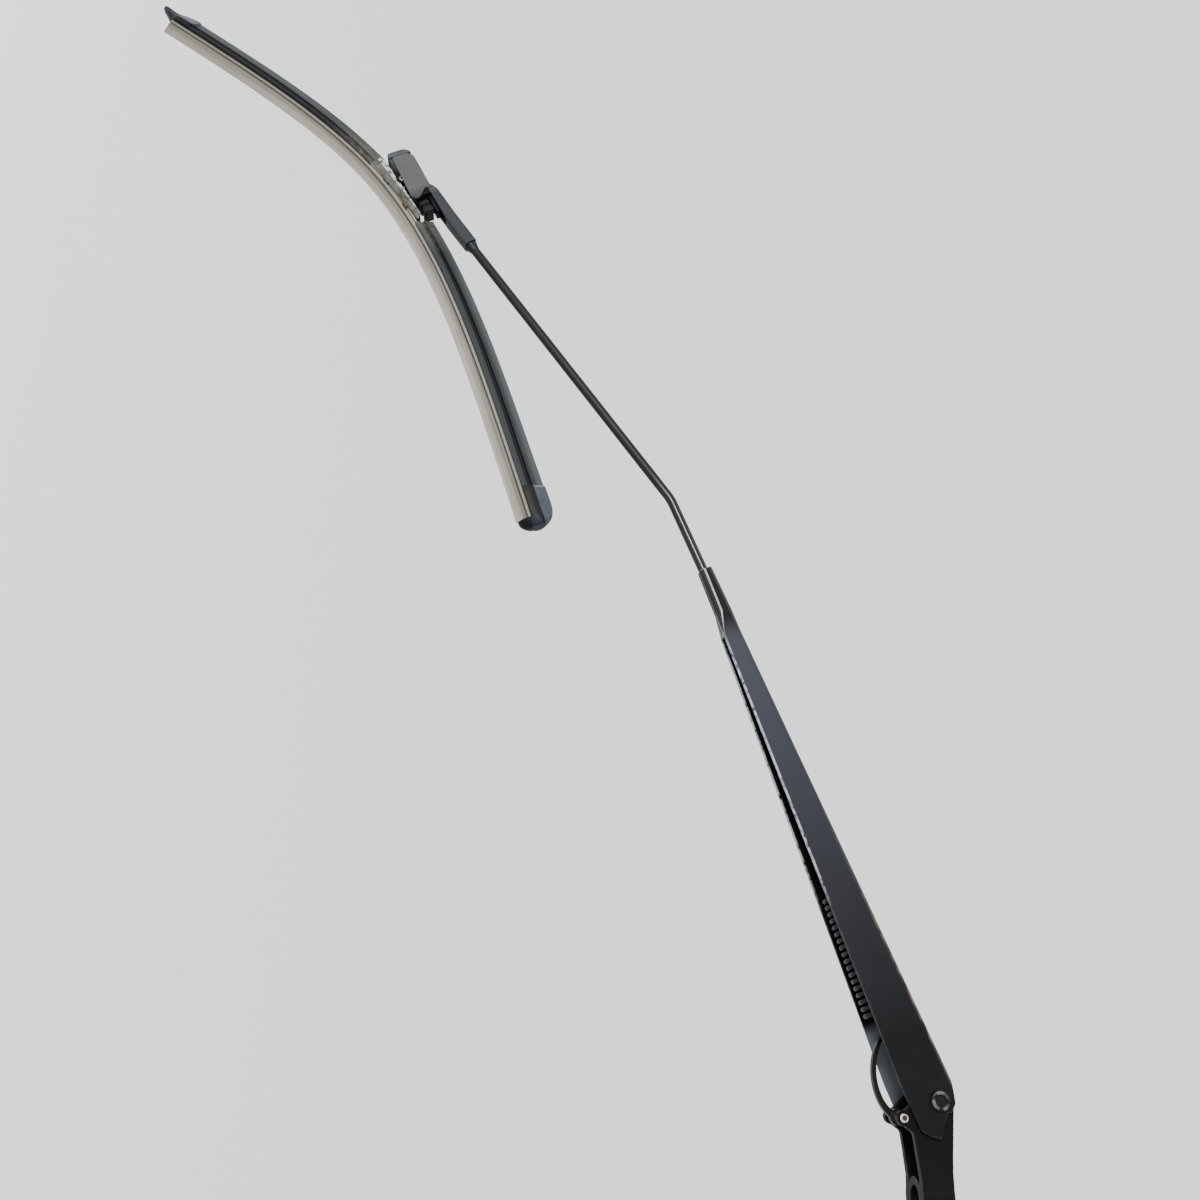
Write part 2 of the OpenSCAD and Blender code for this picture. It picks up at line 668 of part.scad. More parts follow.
// Each ring of the wire is turned as little as it can be from the ring before it
function path_dir(path, i) = unit(path[min(i + 1, len(path) - 1)] - path[max(i - 1, 0)]);
function wire_rings(path, r, sides) =
    [for (i = 0, d = path_dir(path, 0), n = unit(cross(d, [0, 0.3, 1]));
        i < len(path);
        i = i + 1,
        d = path_dir(path, min(i, len(path) - 1)),
        n = unit(n - (n * d) * d))
        [for (k = [0 : sides - 1])
            let (a = 360 * k / sides)
            path[i] + r * (cos(a) * n + sin(a) * cross(d, n))]];
module tension_spring() {
    color("black") arm_frame() tube_skin(wire_rings(spring_path, wire_r, wire_sides));
}

// Rod: round wire with one bend, its inner end flattened and pierced for the spring.
// A ring of it has half width a and half height b. It is round at an ease of 1, and oblong below that.
function eased(v, ease) = sign(v) * pow(abs(v), ease);
function rod_ring(x, z, tilt, a, b, ease) =
    [for (i = [0 : rod_sides - 1])
        let (t = 360 * (i + 0.5) / rod_sides, y = -a * eased(sin(t), ease), h = b * eased(cos(t), ease))
        [x + h * sin(tilt), y, z + h * cos(tilt)]];
tab_mid = tab_low + tab_h / 2;
rod_tab_rings = [
    for (e = [[0, 0.45], [0.35, 0.68], [1, 0.86], [2, 0.97], [3, 1]])
        rod_ring(tab_end + e[0], tab_mid, 0, tab_t / 2, e[1] * tab_h / 2, tab_ease),
    for (t = [0 : 0.2 : 1])
        rod_ring(lerp(tab_taper_start, waist_x, t), lerp(tab_mid, waist_z, t), 0,
            lerp(tab_t / 2, waist_r, t), lerp(tab_h / 2, waist_r, t), lerp(tab_ease, 0.9, t)),
    for (t = [0.25 : 0.25 : 1])
        rod_ring(lerp(waist_x, rod_round_start, t), lerp(waist_z, rod_z, t), 0,
            lerp(waist_r, rod_r, t), lerp(waist_r, rod_r, t), lerp(0.9, 1, t))];
bend_steps = 7;
rod_bend_rings = [
    for (i = [0 : bend_steps]) let (a = rod_bend * i / bend_steps)
        rod_ring(bend_x - bend_tangent + bend_r * sin(a), rod_z - bend_r * (1 - cos(a)), a, rod_r, rod_r, 1)];
// A ring in the straight outer run, at x along the bent end of the rod
function outer_ring(x, r) =
    rod_ring(bend_x + x * cos(rod_bend), rod_z - x * sin(rod_bend), rod_bend, r, r, 1);
collar_start = tip_len - fitting_back - collar_len;
module arm_rod() {
    color("black") arm_frame() difference() {
        tube_skin(concat(rod_tab_rings, rod_bend_rings, [
            outer_ring(collar_start, rod_r), outer_ring(collar_start + collar_len - 0.8, collar_r),
            outer_ring(collar_start + collar_len - 0.1, collar_r - 0.1),
            outer_ring(collar_start + collar_len - 0.05, rod_r), outer_ring(rod_end, rod_r)]));
        translate([anchor_x, 0, anchor_z]) cross_pin(eye_r, 2 * tab_t);
    }
}

// End fitting: one pressing, a sleeve round the rod that opens into a hood over the adapter
neck_x = tip_len - 36.5;
hump_x = tip_len - 18.5;
hood_join_x = tip_len - 12;
module fitting_side() {
    start = tip_len - fitting_back;
    polygon(rounded([
        [start, -sleeve_h / 2, 0.6], [start, sleeve_h / 2, 0.6], [hump_x, sleeve_h / 2, 2],
        [hood_join_x, 0.4, 1], [hood_join_x, -1.8, 0], [hump_x - 1, -1.8, 4], [neck_x, -3.2, 6],
        [neck_x - 5, -sleeve_h / 2, 4]]));
}
module hood_side(grow) {
    polygon(rounded([
        [-14 - grow, hood_top + grow, 0], [hood_front + grow, hood_top + grow, 5],
        [hood_front + grow, 0.2 - grow, 1.5], [-hood_rear + 4, -hood_low - grow, 4],
        [-hood_rear - grow, -hood_low + 3, 3], [-13.2 - grow, hood_top - 4, 1]]));
}
module arm_end_fitting() {
    start = tip_len - fitting_back;
    high = sleeve_h / 2;
    color("slategray") difference() {
        union() {
            rod_frame() intersection() {
                tube_skin([
                    box_ring(start, sleeve_w, -high, high, 2.4, 2.4),
                    box_ring(neck_x, sleeve_w + 0.8, -high, high, 2.4, 2.4),
                    box_ring(hood_join_x, 2 * hood_out - 1, -high - 2, high, 2.4, 2.4)]);
                side_plate(4 * hood_out) fitting_side();
            }
            hood_frame() side_plate(2 * hood_out) hood_side(0);
        }
        rod_frame() {
            tube_skin([
                box_ring(rod_end + 1.4, sleeve_w - 2 * fitting_t, -sleeve_h, high - fitting_t, 1.2, 1.2),
                box_ring(neck_x, sleeve_w + 0.8 - 2 * fitting_t, -sleeve_h, high - fitting_t, 1.2, 1.2),
                box_ring(hump_x, 2 * hood_in - 4, -sleeve_h, high - fitting_t, 1.2, 1.2)]);
            translate([start - over, 0, 0]) rotate([0, 90, 0])
                cylinder(r = rod_r + seat_gap, h = rod_end + over + 2 - start);
        }
        // Inside of the hood, open below, in front and behind
        hood_frame() side_plate(2 * hood_in) polygon([
            [-hood_rear - 6, -hood_low - 2 * over], [hood_front + over, -hood_low - 2 * over],
            [hood_front + over, hood_top - fitting_t], [-13.2, hood_top - fitting_t],
            [-16.5, hood_top - fitting_t - 0.2], [-hood_rear - 6, hood_top - fitting_t - 1]]);
    }
}

// Adapter: plastic block held in the hood, with two bearing cheeks on the blade's pin
module adapter_core() {
    circle(pin_ear_r);
    polygon(rounded([
        [-17, adapter_top, 0.5], [hood_front - 1, adapter_top, 4], [hood_front + 0.6, 6, 0],
        [hood_front + 0.6, -1.6, 0], [pin_ear_r * 0.9, -1.6, 0], [0, -1.2, 0], [-pin_ear_r, 0, 0], [-17, 2.4, 1]]));
}
module adapter_nose() {
    polygon(rounded([
        [hood_front + adapter_gap, -1.8, 0], [nose_front, -1.8, 1.5], [nose_front, hood_top - 3, 5.5],
        [hood_front + adapter_gap, hood_top - 0.4, 0]]));
}
module adapter_body() {
    slot_half_y = rib_t / 2 + tab_gap;
    color("lightslategray") hood_frame() difference() {
        union() {
            side_plate(2 * adapter_half) adapter_core();
            side_plate(2 * hood_out) adapter_nose();
            translate([-tongue_back, -tongue_half, adapter_top - tongue_t])
                cube([tongue_back - 16, 2 * tongue_half, tongue_t]);
        }
        // Slot for the connector's rib
        translate([-10, -slot_half_y, -2 * pin_ear_r]) cube([20, 2 * slot_half_y, 2 * pin_ear_r + pin_ear_r + 1]);
        cross_pin(pin_r + running_gap, 3 * hood_out);
        // Slot for the release tab's stem
        translate([stem_x - stem_half_x - tab_gap, -stem_half_y - tab_gap, adapter_top - tongue_t - over])
            cube([2 * (stem_half_x + tab_gap), 2 * (stem_half_y + tab_gap), tongue_t + 2 * over]);
    }
}

// Release tab: a ribbed pad under the adapter's tongue, pushed up to free the adapter from the arm
module release_tab() {
    rib_reach = 5;
    rib_low = pad_low - 0.7;
    color("gray") hood_frame() {
        translate([-tongue_back + 0.5, -4, pad_low]) cube([10, 8, pad_high - pad_low]);
        for (x = [-27.1, -21.6]) translate([x - 1.2, -rib_reach, rib_low])
            cube([2.4, 2 * rib_reach, pad_high - rib_low]);
        translate([stem_x - stem_half_x, -stem_half_y, pad_high])
            cube([2 * stem_half_x, 2 * stem_half_y, adapter_top + 1.3 - pad_high]);
    }
}

// Connector: a die casting clawed to the rails, with a rib for the blade's pin
module connector_pin() {
    color("silver") blade_frame() dimpled_pin(pin_r, 2 * adapter_half - 0.4);
}
module base_side() {
    low = rail_top + rail_gap + 0.1 - pin_above_lip - skirt_h;
    polygon(rounded([
        [-base_rear, low, 0.5], [-base_rear, base_top_rear - 1.6, 1.5], [-base_rear + 3, base_top_rear, 2],
        [base_front - 4, base_top_front, 2], [base_front, base_top_front - 0.8, 1], [base_front, low, 0.5]]));
}
module claw(s) {
    blade_at(s) for (side = [-1, 1]) {
        translate([-claw_len / 2, side > 0 ? cavity_half : -base_w / 2, rail_h - 0.7])
            cube([claw_len, base_w / 2 - cavity_half, rail_t + 2]);
        translate([-claw_len / 2, side > 0 ? crown_w / 2 + 0.4 : -base_w / 2, rail_h - 0.7])
            cube([claw_len, base_w / 2 - crown_w / 2 - 0.4, 0.6]);
    }
}
module connector_base() {
    color("lightgray") {
        blade_frame() difference() {
            union() {
                side_plate(base_w) base_side();
                side_plate(rib_t) {
                    circle(pin_ear_r);
                    polygon([[-pin_ear_r, 0], [pin_ear_r, 0], [pin_ear_r + 3, -4], [-pin_ear_r - 3, -4]]);
                }
            }
            // Space for the rails and for the rubber's head
            translate([-base_rear - over, -cavity_half, -pin_above_lip])
                cube([base_rear + base_front + 2 * over, 2 * cavity_half, cavity_top]);
            translate([-base_rear - over, -head_slot_half, -pin_above_lip])
                cube([base_rear + base_front + 2 * over, 2 * head_slot_half, head_slot_top]);
            // Pockets for the adapter's bearing cheeks
            for (side = [-1, 1]) translate([0, side * (rib_t / 2 + base_w / 2), 0])
                cross_pin(pin_ear_r + 0.5, base_w);
            cross_pin(pin_r + seat_gap, 2 * base_w);
        }
        for (s = [4.3, -17]) claw(s);
    }
}

// Rails: two spring steel strips in the rubber's grooves
module rail(side) {
    outline = [[rail_in, rail_h], [rail_out, rail_h], [rail_out, rail_top], [rail_in, rail_top]];
    order = side > 0 ? [0, 1, 2, 3] : [3, 2, 1, 0];
    color("silver") blade_frame() tube_skin([for (s = stations(rail_inner_end, rail_outer_end, 44))
        [for (k = order) blade_point(s, side * outline[k][0], outline[k][1])]]);
}
module rail_near() {
    rail(1);
}
module rail_far() {
    rail(-1);
}

// Half of the rubber's section, from the lip up
rubber_half = [
    [lip_w / 2, 0], [lip_w / 2 + 0.15, 1], [wedge_w * 0.27, wedge_h * 0.45], [wedge_w * 0.3, wedge_h * 0.62],
    [wedge_w / 2, wedge_h * 0.86], [wedge_w / 2, wedge_h], [neck_w / 2, wedge_h + 0.1],
    [neck_w / 2, wedge_h + neck_h - 0.1], [crown_w / 2 - 0.3, wedge_h + neck_h],
    [crown_w / 2, wedge_h + neck_h + crown_h * 0.45], [crown_w / 2 - 0.25, wedge_h + neck_h + crown_h * 0.55],
    [crown_w / 2, wedge_h + neck_h + crown_h], [groove_half, wedge_h + neck_h + crown_h],
    [groove_half, rail_top + rail_gap], [rubber_head_w / 2, rail_top + rail_gap],
    [rubber_head_w / 2 - 0.5, rail_top + rail_gap + rubber_head_h]];
rubber_section = concat(rubber_half, [for (i = [len(rubber_half) - 1 : -1 : 0]) [-rubber_half[i][0], rubber_half[i][1]]]);
module rubber_element() {
    color("tan") blade_frame() skin(
        [for (s = stations(rubber_inner_end, rubber_outer_end, 44))
            [for (p = rubber_section) blade_point(s, p[0], p[1])]],
        rubber_section);
}

// Spoiler: the near face is a hollow curve, the far face is nearly flat
face_steps = 5;
function near_face(top, grow) =
    [for (i = [0 : face_steps]) let (u = i / face_steps)
        [0.8 + grow + (foot_w / 2 - 1.5) * pow(1 - u, 1.8), lerp(foot_top + 1.5, top - 0.4, u)]];
function far_face(top, grow) =
    [for (i = [face_steps : -1 : 0]) let (u = i / face_steps)
        [-1 - grow - (foot_w / 2 - 1.3) * pow(1 - u, 1.2), lerp(foot_top + 0.6, top - 0.5, u)]];
function outer_outline(top, grow) = concat(
    [[foot_w / 2 - 0.5 + grow, foot_low], [foot_w / 2 + grow, foot_low + 0.5], [foot_w / 2 + grow, foot_top],
        [foot_w / 2 - 1.1 + grow, foot_top + 0.5], [foot_w / 2 - 1.2 + grow, foot_top + 1.2]],
    near_face(top, grow),
    [[0.3, top], [-0.5, top]],
    far_face(top, grow),
    [[-foot_w / 2 - grow, foot_top], [-foot_w / 2 - grow, foot_low + 0.5], [-foot_w / 2 + 0.5 - grow, foot_low]]);
lip_in = crown_w / 2 + 0.3;
cavity_outline = [
    [-lip_in, foot_low], [-lip_in, rail_h - rail_gap], [-cavity_half, rail_h - rail_gap],
    [-cavity_half, cavity_top], [-head_slot_half, cavity_top], [-head_slot_half, head_slot_top],
    [head_slot_half, head_slot_top], [head_slot_half, cavity_top], [cavity_half, cavity_top],
    [cavity_half, rail_h - rail_gap], [lip_in, rail_h - rail_gap], [lip_in, foot_low]];
function spoiler_top(s) =
    s > 0 ? spoiler_h - outer_fall * s / outer_len : spoiler_h + 0.4 + (inner_rise - 0.4) * pow(-s / inner_len, 2);
module spoiler(a, b, n) {
    color("darkslategray") blade_frame() skin(
        [for (s = stations(a, b, n))
            [for (p = concat(outer_outline(spoiler_top(s), 0), cavity_outline)) blade_point(s, p[0], p[1])]],
        concat(outer_outline(spoiler_h, 0), cavity_outline));
}
module spoiler_outer() {
    spoiler(base_front + spoiler_gap, outer_len - outer_cap - 0.2, 26);
}
module spoiler_inner() {
    spoiler(-inner_len + inner_cap + 0.2, -base_rear - spoiler_gap, 30);
}

// A cap's solid: a side outline, x along the blade and y up, cut to the spoiler's section
module cap_body(top, a, b) {
    difference() {
        intersection() {
            side_plate(2 * foot_w) children();
            translate([a, 0, 0]) rotate([90, 0, 90]) linear_extrude(b - a) polygon(outer_outline(top, cap_proud));
        }
        // Space for the rails and for the rubber
        translate([a - over, 0, 0]) rotate([90, 0, 90]) linear_extrude(b - a + 2 * over) polygon(cavity_outline);
    }
}
module end_cap_outer() {
    mid = outer_len - outer_cap / 2;
    half = outer_cap / 2;
    top = spoiler_top(mid);
    color("darkslategray") blade_at(mid) {
        cap_body(top + 1, -half, half) polygon(rounded([
            [-half, foot_low - over, 0], [half - 9.8, foot_low - over, 0], [half - 9.6, foot_low + 0.4, 1],
            [half - 1.2, 13.4, 1], [half - 0.1, 15.4, 1], [half - 1.8, 16.5, 1], [half - 10, 17.4, 3],
            [half - 13.5, 18.7, 3], [-half + 2, top + 0.9, 2], [-half, top + 0.4, 0]]));
        // Solid tongue past the ends of the rails
        side_plate(7) polygon(rounded([
            [half - 11, head_slot_top - 0.2, 0], [half - 4.5, head_slot_top - 0.2, 0],
            [half - 1.5, 13.8, 1], [half - 0.6, 15.2, 1], [half - 2, 16.2, 1], [half - 11, 16.4, 0]]));
    }
}
module end_cap_inner() {
    mid = -inner_len + inner_cap / 2;
    half = inner_cap / 2;
    top = spoiler_top(mid);
    wall = 5.4;
    color("darkslategray") blade_at(mid) {
        cap_body(top + 1.6, -half, half) polygon(rounded([
            [half, foot_low - over, 0], [half, top + 0.3, 0], [half - 3, top + 0.6, 3], [-half + 3.4, top + 0.9, 4.5],
            [-half, top - 6.5, 6], [-half, foot_low - over, 0]]));
        // End wall that closes off the rubber and the rails
        intersection() {
            side_plate(2 * foot_w) polygon(rounded([
                [-half, 5.4, 3], [-half + 2.6, 2.2, 1], [-half + wall, 0.6, 0.3], [-half + wall, top - 3, 0],
                [-half, top - 7, 0]]));
            translate([-half - over, 0, 0]) rotate([90, 0, 90]) linear_extrude(2 * half) polygon(rounded([
                [-1.6, 0.4, 0.6], [1.6, 0.4, 0.6], [foot_w / 2, foot_low, 1], [foot_w / 2, foot_top, 0], [1.6, top, 1],
                [-1.8, top, 1], [-foot_w / 2, foot_top, 0], [-foot_w / 2, foot_low, 1]]));
        }
    }
}

mounting_head();
pivot_bush_near();
pivot_bush_far();
hook_pin();
spring_hook();
pivot_rivet();
arm_channel();
tension_spring();
arm_rod();
arm_end_fitting();
adapter_body();
release_tab();
connector_pin();
connector_base();
rail_near();
rail_far();
rubber_element();
spoiler_outer();
spoiler_inner();
end_cap_outer();
end_cap_inner();
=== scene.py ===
import logging
import math
from collections.abc import Callable
from dataclasses import dataclass, field
from enum import Enum

import bpy
from mathutils import Matrix, Vector


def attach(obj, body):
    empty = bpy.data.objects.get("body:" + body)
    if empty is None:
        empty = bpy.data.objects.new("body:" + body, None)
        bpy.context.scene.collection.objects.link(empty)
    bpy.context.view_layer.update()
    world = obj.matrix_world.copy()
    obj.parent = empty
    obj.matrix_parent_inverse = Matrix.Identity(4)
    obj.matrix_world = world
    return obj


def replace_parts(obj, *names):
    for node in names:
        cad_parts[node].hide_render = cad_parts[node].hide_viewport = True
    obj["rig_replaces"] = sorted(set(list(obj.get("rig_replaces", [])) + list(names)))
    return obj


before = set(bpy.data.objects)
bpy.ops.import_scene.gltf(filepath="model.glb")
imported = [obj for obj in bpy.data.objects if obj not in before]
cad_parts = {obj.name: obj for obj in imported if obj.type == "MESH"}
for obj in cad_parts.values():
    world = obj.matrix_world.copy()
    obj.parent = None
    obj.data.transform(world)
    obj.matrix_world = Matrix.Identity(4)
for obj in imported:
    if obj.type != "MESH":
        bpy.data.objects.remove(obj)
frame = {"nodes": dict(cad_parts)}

LOG = logging.getLogger("wiper_arm")
MM = 0.001


class Body(Enum):
    """The rigid bodies that pieces can ride on."""

    HEAD = "head"
    ARM = "arm"
    HOOK = "hook"
    TAB = "tab"
    BLADE = "blade"


class Half(Enum):
    """The two halves of the blade, either side of its pivot."""

    OUTER = "outer"
    INNER = "inner"


class Attr(Enum):
    """Names of the per-point measures that pieces carry for their materials."""

    ALONG = "along_mm"
    HEIGHT = "height_mm"
    ACROSS = "across_mm"
    RADIUS = "radius_mm"


# ---- Frames ----


@dataclass(frozen=True)
class SideFrame:
    """A frame that lies in the arm's middle plane, turned about the row's Y axis.

    x and z place its origin in the row frame in mm, and drop is the angle in degrees by which its X
    axis falls.
    """

    x: float
    z: float
    drop: float

    def at(self, x: float, y: float, z: float) -> Vector:
        """Turns a point of this frame, in mm, into the row frame, in metres."""
        a = math.radians(self.drop)
        return Vector((
            self.x + x * math.cos(a) + z * math.sin(a),
            y,
            self.z - x * math.sin(a) + z * math.cos(a),
        )) * MM

    def local(self, point: Vector) -> tuple[float, float, float]:
        """Turns a point of the row frame, in metres, into x along, y across and z up in this one, in mm."""
        a, x, z = math.radians(self.drop), point.x / MM - self.x, point.z / MM - self.z
        return x * math.cos(a) - z * math.sin(a), point.y / MM, x * math.sin(a) + z * math.cos(a)

    def step(self, x: float, z: float, turn: float) -> "SideFrame":
        """Makes a frame that lies x and z mm from this one and falls by turn degrees more."""
        p = self.at(x, 0, z) / MM
        return SideFrame(p.x, p.z, self.drop + turn)


@dataclass(frozen=True)
class ArmLayout:
    """Sizes that place the arm's frames, in mm and degrees."""

    pivot_x: float = 42.0
    pivot_z: float = 9.5
    arm_drop: float = 25.0
    bend_x: float = 334.8
    rod_z: float = 7.0
    rod_bend: float = 13.8
    tip_len: float = 267.3
    pin_drop: float = 10.9
    hood_pitch: float = 8.1
    blade_set: float = 0.4
    hook_back: float = 8.3
    hook_down: float = 16.4

    @property
    def arm(self) -> SideFrame:
        """The channel's frame at the hinge axis."""
        return SideFrame(self.pivot_x, self.pivot_z, self.arm_drop)

    @property
    def rod(self) -> SideFrame:
        """The outer rod's frame at the bend."""
        return self.arm.step(self.bend_x, self.rod_z, self.rod_bend)

    @property
    def pin(self) -> SideFrame:
        """The blade pivot's frame, along the rod."""
        return self.rod.step(self.tip_len, -self.pin_drop, 0)

    @property
    def hood(self) -> SideFrame:
        """The hood's frame at the blade pivot."""
        return self.rod.step(self.tip_len, -self.pin_drop, -self.hood_pitch)

    @property
    def hook_pin(self) -> SideFrame:
        """The hook pin's frame, level with the row frame."""
        return SideFrame(self.pivot_x - self.hook_back, self.pivot_z - self.hook_down, 0)

    @property
    def blade(self) -> SideFrame:
        """The blade's frame at its pivot."""
        return self.rod.step(self.tip_len, -self.pin_drop, self.blade_set)


@dataclass(frozen=True)
class BladeCurve:
    """The blade's free curve, bent most at the pivot: lengths in mm, turns in degrees.

    The run-ons say how far past each tip it would go on bending, and fade is the power by which the
    bend dies away.
    """

    frame: SideFrame
    pin_above_lip: float = 18.0
    outer_len: float = 203.0
    inner_len: float = 244.5
    outer_turn: float = 19.5
    inner_turn: float = 18.0
    outer_run_on: float = 9.0
    inner_run_on: float = 5.5
    fade: int = 3
    step: float = 2.0

    def slope(self, s: float) -> float:
        """The curve's angle at a distance along it.

        Args:
            s: Distance from the pivot in mm, positive towards the outer tip.

        Returns:
            The angle above the blade frame's X axis, in degrees.
        """
        if s >= 0:
            left = 1 - min(s / (self.outer_len + self.outer_run_on), 1)
            return -self.outer_turn * (1 - left ** self.fade)
        left = 1 - min(-s / (self.inner_len + self.inner_run_on), 1)
        return self.inner_turn * (1 - left ** self.fade)

    def foot(self, s: float) -> tuple[float, float]:
        """The tip of the rubber at a distance along the curve.

        Args:
            s: Distance from the pivot in mm.

        Returns:
            x and z in the blade frame, in mm.
        """
        x, z, way = 0.0, -self.pin_above_lip, 1 if s >= 0 else -1
        steps = max(int(abs(s) / self.step), 1)
        for i in range(steps):
            a = math.radians(self.slope(s * (i + 0.5) / steps))
            x += way * abs(s) / steps * math.cos(a)
            z += way * abs(s) / steps * math.sin(a)
        return x, z

    def point(self, s: float, y: float, h: float) -> Vector:
        """A point of the blade.

        Args:
            s: Distance along the curve in mm.
            y: Distance across the blade in mm.
            h: Height above the tip of the rubber in mm.

        Returns:
            The point in the row frame, in metres.
        """
        x, z = self.foot(s)
        a = math.radians(self.slope(s))
        return self.frame.at(x - h * math.sin(a), y, z + h * math.cos(a))


# ---- Meshes ----


def smooth_by_angle(mesh: bpy.types.Mesh, degrees: float) -> None:
    """Smooths a mesh, but keeps edges sharp that turn by more than this many degrees."""
    mesh.shade_smooth()
    mesh.set_sharp_from_angle(angle=math.radians(degrees))


def loft(name: str, rings: list[list[Vector]], measures: dict[Attr, list[float]] | None = None,
         sharp: float = 38.0) -> bpy.types.Object:
    """Makes a closed solid through rings of points.

    Args:
        name: The object's name.
        rings: Rings of points in metres, each with as many points as the next.
        measures: Values for each point, ring by ring, for the materials.
        sharp: Edges that turn by more than this many degrees stay sharp.

    Returns:
        The new object, linked to the scene.
    """
    n = len(rings[0])
    verts = [p for ring in rings for p in ring]
    faces = [tuple(range(n)), tuple((len(rings) - 1) * n + k for k in range(n - 1, -1, -1))]
    for i in range(len(rings) - 1):
        for j in range(n):
            k = (j + 1) % n
            faces.append((i * n + j, (i + 1) * n + j, (i + 1) * n + k, i * n + k))
    mesh = bpy.data.meshes.new(name)
    mesh.from_pydata([tuple(p) for p in verts], [], faces)
    for key, values in (measures or {}).items():
        mesh.attributes.new(key.value, "FLOAT", "POINT").data.foreach_set("value", values)
    mesh.validate()
    smooth_by_angle(mesh, sharp)
    obj = bpy.data.objects.new(name, mesh)
    bpy.context.scene.collection.objects.link(obj)
    return obj


def measure(obj: bpy.types.Object, frame_at: SideFrame) -> None:
    """Gives a CAD piece the measures that its material reads.

    Args:
        obj: The piece, whose points are in the row frame.
        frame_at: The frame to measure in; the radius is taken from its Y axis.
    """
    places = [frame_at.local(v.co) for v in obj.data.vertices]
    for key, values in (
            (Attr.ALONG, [x for x, _, _ in places]),
            (Attr.ACROSS, [y for _, y, _ in places]),
            (Attr.HEIGHT, [z for _, _, z in places]),
            (Attr.RADIUS, [math.hypot(x, z) for x, _, z in places])):
        obj.data.attributes.new(key.value, "FLOAT", "POINT").data.foreach_set("value", values)


def even_stations(a: float, b: float, pitch: float) -> list[float]:
    """Spreads stations over a length in mm, both ends included and at most a pitch apart."""
    n = max(int(math.ceil(abs(b - a) / pitch)), 1)
    return [a + (b - a) * i / n for i in range(n + 1)]


def wire(name: str, path: list[Vector], radius: float, sides: int) -> bpy.types.Object:
    """Sweeps a round wire along a path without twisting it.

    Args:
        name: The object's name.
        path: Points in metres.
        radius: Radius of the wire in metres.
        sides: Sides of the wire.

    Returns:
        The new object.
    """
    rings: list[list[Vector]] = []
    normal = Vector((0, 1, 0))
    for i, p in enumerate(path):
        d = (path[min(i + 1, len(path) - 1)] - path[max(i - 1, 0)]).normalized()
        normal = (normal - d * normal.dot(d)).normalized()
        side = d.cross(normal)
        angles = [2 * math.pi * k / sides for k in range(sides)]
        rings.append([p + (normal * math.cos(a) + side * math.sin(a)) * radius for a in angles])
    return loft(name, rings, sharp=60)


# ---- Colour and shader nodes ----


def linear(code: str) -> tuple[float, float, float, float]:
    """Turns an sRGB hex colour into the linear colour that shaders take.

    Args:
        code: Six hex digits with a leading hash.

    Returns:
        Linear red, green, blue and an alpha of 1.
    """
    rgb = [int(code[i:i + 2], 16) / 255 for i in (1, 3, 5)]
    lin = [c / 12.92 if c <= 0.04045 else ((c + 0.055) / 1.055) ** 2.4 for c in rgb]
    return lin[0], lin[1], lin[2], 1.0


